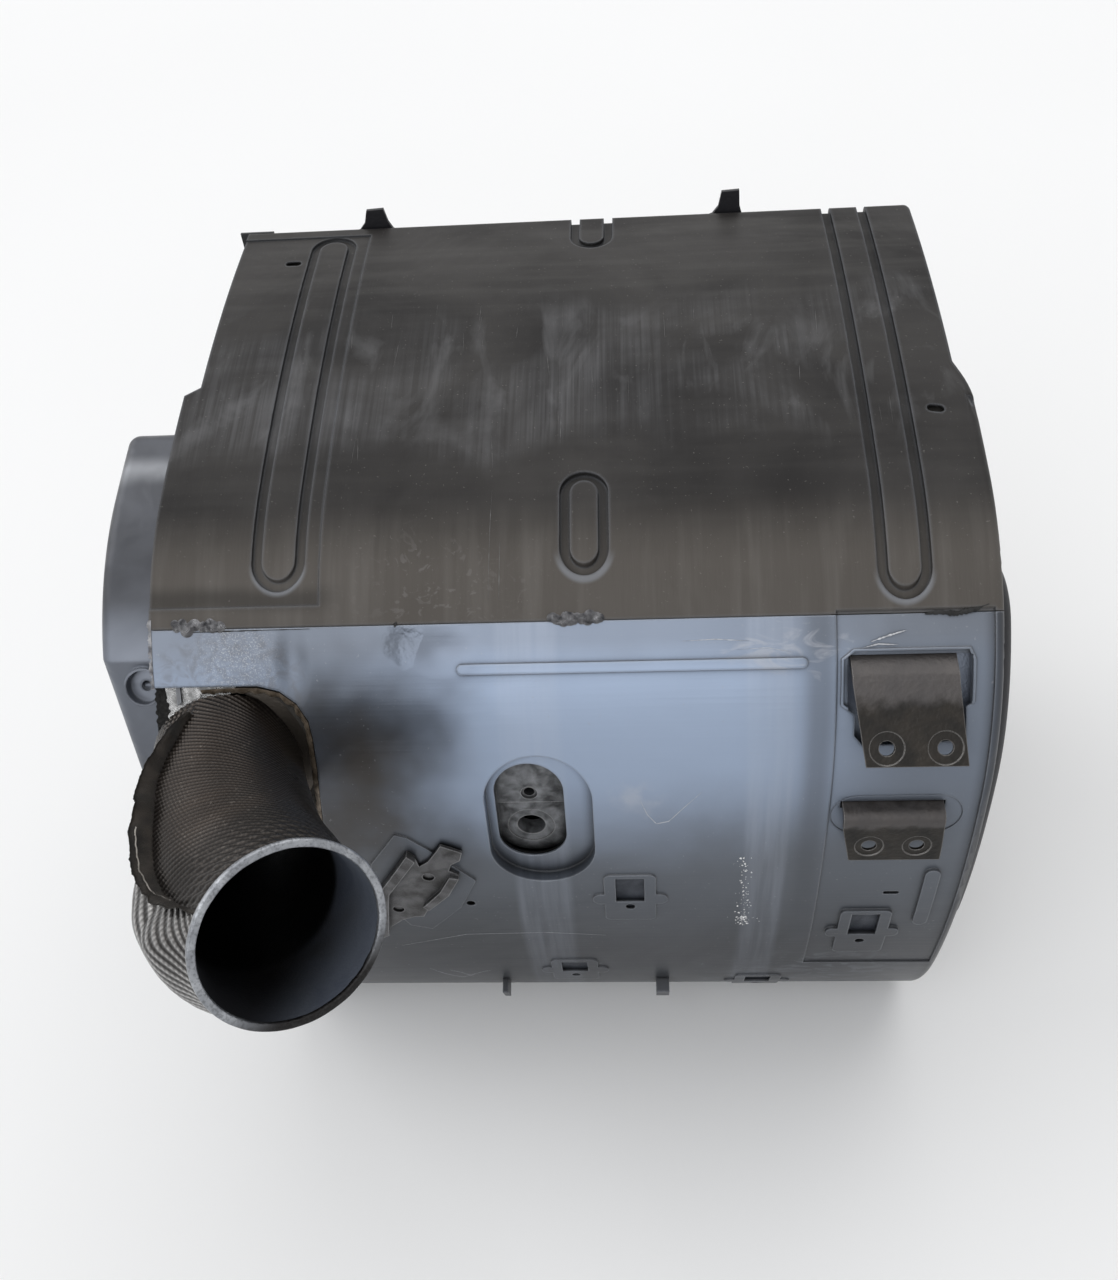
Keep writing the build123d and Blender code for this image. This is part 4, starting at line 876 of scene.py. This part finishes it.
# Marks on the skin: each a run of (x, travel) points in millimetres, and a width
FRONT_SCRATCHES = (
    (((57, 670), (63, 688), (71, 700), (82, 697), (96, 679), (111, 661)), 2.0),
    (((250, 524), (265, 519), (279, 515)), 1.6),
    (((243, 529), (256, 526), (272, 527)), 1.2),
    (((95, 520), (122, 519), (150, 521)), 1.4),
    (((140, 528), (165, 527), (186, 531)), 1.2),
    (((-190, 905), (-120, 880), (-40, 877), (20, 884)), 0.8),
    (((-171, 969), (-156, 990), (-140, 1004), (-120, 985), (-106, 976)), 1.3),
    (((-150, 975), (-138, 985), (-128, 1000)), 1.2),
)
ROOF_SCRATCHES = (
    (((-65, 381), (-66, 430), (-67, 482)), 1.0),
    (((-57, 432), (-58, 482)), 1.4),
)
SEAM_TEARS = (
    (((294, 502), (306, 501.0), (320, 502.5), (334, 499), (346, 495)), 4.0),
    (((-330, 503.5), (-290, 503.0), (-220, 502.6)), 1.6),
    (((-148, 500), (-144.5, 501)), 7.0),
)

# Rows of points from one point of a run to the next
STEP_ROWS = 12


def ridge(name, strokes, look, slot, height, seed):
    """Thin raised strokes on the skin, with their edges sunk below it."""
    rng = Random(seed)
    sunk = 0.3
    points, faces = [], []
    for run, width in strokes:
        last = STEP_ROWS * (len(run) - 1)
        start = len(points)
        for step in range(last + 1):
            x, s, step_x, step_s = on_run(run, step / last * (len(run) - 1))
            length = max(hypot(step_x, step_s), 1e-6)
            wide = width * (0.2 + 0.8 * sin(pi * step / last)) * rng.uniform(0.5, 1.4) / 2
            side_x, side_s = step_s / length * wide, -step_x / length * wide
            points.append(at(x + side_x, s + side_s, -sunk))
            points.append(at(x, s, height))
            points.append(at(x - side_x, s - side_s, -sunk))
        faces += grid_faces(last + 1, 3, start)
    piece_from(name, points, faces, look, slot)


def make_scratches(rng):
    """Pale scratches on the front, and soft ones along the roof."""
    look = plain_look("pale_scratch", (0.36, 0.37, 0.39), (0.58, 0.59, 0.62), 0.2, 0.4, 0.55, scale=200.0)
    ridge("pale_scratches", FRONT_SCRATCHES, look, "front_sheet", 0.12, 3)
    look = plain_look("soft_scratch", (0.10, 0.10, 0.10), (0.17, 0.17, 0.17), 0.3, 0.45, 0.6, scale=200.0)
    strokes = list(ROOF_SCRATCHES)
    for _ in range(26):
        x, s = rng.uniform(-210, 300), rng.uniform(140, 320)
        strokes.append((((x, s), (x + rng.uniform(-3, 3), s + rng.uniform(14, 42))), rng.uniform(0.4, 0.9)))
    ridge("soft_scratches", strokes, look, "top_sheet", 0.10, 4)


def make_torn_seam():
    """Torn bits of the seam near both ends, and a nick in it."""
    look = plain_look("torn_seam", (0.004, 0.004, 0.004), (0.012, 0.012, 0.012), 0.2, 0.6, 0.8, scale=90.0)
    ridge("torn_seam", SEAM_TEARS, look, "black_sheet", 0.5, 5)


def make_splashes(rng):
    """White splashes in a narrow run down the front, thickest near its lower end."""
    look = plain_look("white_splash", (0.62, 0.62, 0.62), (0.80, 0.80, 0.80), 0.0, 0.5, 0.7, scale=200.0)
    corners, upper, lower = 6, 745, 864
    points, faces = [], []
    for _ in range(130):
        s = rng.uniform(upper, lower)
        spread = 3 if rng.random() < 0.8 else 9
        x = 150 + 0.05 * (s - upper) + rng.gauss(0, spread)
        if rng.random() < 0.35:
            s = rng.gauss(852, 5)
        size = rng.choice((0.5, 0.6, 0.8, 1.2, 1.8))
        start = len(points)
        points.append(at(x, s, 0.25))
        for corner in range(corners):
            turn = 2 * pi * corner / corners
            reach = size * rng.uniform(0.5, 1.5)
            points.append(at(x + reach * cos(turn), s + 1.3 * reach * sin(turn), -0.25))
            faces.append((start, start + 1 + corner, start + 1 + (corner + 1) % corners))
    piece_from("white_splashes", points, faces, look, "front_sheet")


# Where the elbow's middle line leaves the skin, and the travel at the upper end of its opening
ROOT_X, ROOT_TRAVEL = -303, 623
OPENING = 549

# Edge of that opening from its top round its right side
RIM = (
    (-318, 553.0), (-300, 552.2), (-284, 552.0), (-268, 552.4), (-249, 557), (-235, 568),
    (-226.5, 584), (-224.5, 600), (-224.5, 630), (-226.5, 660), (-229.5, 690), (-232, 730),
)


def make_root_rim():
    """Browned flange turned in round the right side of the elbow's opening."""
    rows = STEP_ROWS * (len(RIM) - 1) + 1
    points = []
    for row in range(rows):
        x, s, _, _ = on_run(RIM, row / STEP_ROWS)
        toward = Vector((ROOT_X - x, ROOT_TRAVEL - s)).normalized()
        curl = wobble(row * 0.21, 3, 3)
        section = ((0.2, 0.4), (3.5 + curl, 1.6), (6.0 + 2 * curl, 4.5), (7.0 + 2 * curl, 10.0), (7.5, 18.0))
        for inward, sunk in section:
            points.append(at(x + toward.x * inward, s + toward.y * inward, -sunk))
    look = Look("browned_rim", metallic=0.5)
    clouds = look.noise(120.0, 5, warp=1.0)
    base = look.mottled(clouds, (0.075, 0.055, 0.036), (0.26, 0.21, 0.16))
    specks = look.fit(look.noise(500.0, 3), 0.6, 0.7, 0.0, 0.8)
    look.colour(look.over(base, (0.015, 0.012, 0.010), specks))
    look.rough(clouds, 0.55, 0.4)
    look.bump(clouds, 0.0008)
    piece_from("root_rim", points, grid_faces(rows, len(section)), look.material, "foil")


def make_crumpled_foil():
    """Bright crumpled foil at the left of the elbow's root."""
    columns, rows = 40, 60
    points = []
    for row in range(rows):
        s = OPENING + 48 * row / (rows - 1)
        ragged = 3 * wobble(s * 0.2, 1, 1)
        for column in range(columns):
            share = column / (columns - 1)
            x = -349 + ragged * (1 - share) + share * (64 - 0.9 * (s - OPENING))
            fold = wobble(x * 0.12, s * 0.05, 0) * 2.6 + wobble(x * 0.4, s * 0.2, 5) * 0.9
            points.append(at(x, s, -3.2 + fold))
    look = plain_look(
        "crumpled_foil", (0.30, 0.30, 0.30), (0.62, 0.62, 0.62), 0.85, 0.2, 0.35, scale=120.0, bump=0.0006
    )
    piece_from("crumpled_foil", points, grid_faces(rows, columns), look, "foil")


def make_charred_gap():
    """Dark ragged gap between the crumpled foil and the skin's left edge."""
    columns, rows = 12, 90
    points = []
    for row in range(rows):
        s = OPENING + 75 * row / (rows - 1)
        left = -359 + 2.5 * wobble(s * 0.25, 8, 0) - 0.05 * (s - OPENING)
        right = -349 + 3.5 * wobble(s * 0.3, 2, 9) + 0.12 * (s - OPENING)
        for column in range(columns):
            x = left + (right - left) * (column / (columns - 1))
            points.append(at(x, s, -4.5 + 1.2 * wobble(x * 0.5, s * 0.5, 0)))
    look = plain_look(
        "charred_packing", (0.002, 0.002, 0.002), (0.010, 0.009, 0.008), 0.0, 0.8, 1.0,
        scale=200.0, bump=0.002,
    )
    piece_from("charred_packing", points, grid_faces(rows, columns), look, "fibre")


def make_torn_edge():
    """Ragged, bright left edge of the front cover above the elbow's opening."""
    rows, length, width = 120, 60, 3
    points = []
    for row in range(rows):
        s = 492 + length * row / (rows - 1)
        ragged = 1.6 * wobble(s * 0.13, 0, 4) + 1.3 * wobble(s * 0.6, 3, 4)
        for share in (0.0, 0.5, 1.0):
            points.append(at(-360.8 + ragged * (1 - share) + width * share, s, 0.3 - 0.5 * (1 - share)))
    look = plain_look(
        "torn_edge", (0.10, 0.10, 0.11), (0.36, 0.36, 0.37), 0.75, 0.28, 0.45, scale=150.0, bump=0.0006
    )
    piece_from("torn_cover_edge", points, grid_faces(rows, 3), look, "front_sheet")


make_wrap()
make_wrap_rib()
make_torn_line()
make_ring()
make_lining()
make_weld("seam_weld_left", -341, -295, 497, 13)
make_weld("seam_weld_middle", -19, 31, 499, 9)
marks_rng = Random(11)
make_scratches(marks_rng)
make_torn_seam()
make_splashes(marks_rng)
make_root_rim()
make_crumpled_foil()
make_charred_gap()
make_torn_edge()

# Floor and light
floor_look = Look("pale_floor", metallic=0.0, roughness=0.9)
floor_look.colour(floor_look.mix(floor_look.noise(0.6, 2), (0.86, 0.86, 0.86), (0.90, 0.90, 0.90)))
bpy.ops.mesh.primitive_plane_add(size=24.0, location=(0, 0, 0))
floor = bpy.context.object
floor.name = "floor"
floor.data.materials.append(floor_look.material)


def lamp(name, toward, strength, softness, tint=(1.0, 1.0, 1.0)):
    """A soft, even studio light which shines along a direction."""
    light = bpy.data.lights.new(name, "SUN")
    light.energy = strength
    light.angle = radians(softness)
    light.color = tint
    made = bpy.data.objects.new(name, light)
    made.rotation_euler = Vector(toward).to_track_quat("-Z", "Y").to_euler()
    bpy.context.scene.collection.objects.link(made)


lamp("front_light", (0.55, 1.0, -1.0), 1.1, 60, (0.95, 0.97, 1.0))
lamp("left_light", (1.0, -0.25, -0.8), 0.9, 45)
lamp("top_light", (-0.1, -0.5, -1.0), 0.9, 60)

# The world looks white to the camera and in reflections, and lights the unit with less than that
WORLD_LIGHT = 0.42
world = bpy.data.worlds.new("studio")
bpy.context.scene.world = world
world.use_nodes = True
sky = world.node_tree
rays = sky.nodes.new("ShaderNodeLightPath").outputs
seen = rays["Is Camera Ray"]
for kind in ("Is Glossy Ray", "Is Transmission Ray"):
    either = sky.nodes.new("ShaderNodeMath")
    either.operation = "MAXIMUM"
    sky.links.new(seen, either.inputs[0])
    sky.links.new(rays[kind], either.inputs[1])
    seen = either.outputs["Value"]
strength = sky.nodes.new("ShaderNodeMapRange")
strength.inputs["To Min"].default_value = WORLD_LIGHT
strength.inputs["To Max"].default_value = 1.0
sky.links.new(seen, strength.inputs["Value"])
sky.nodes["Background"].inputs["Color"].default_value = (1.0, 1.0, 1.0, 1.0)
sky.links.new(strength.outputs["Result"], sky.nodes["Background"].inputs["Strength"])
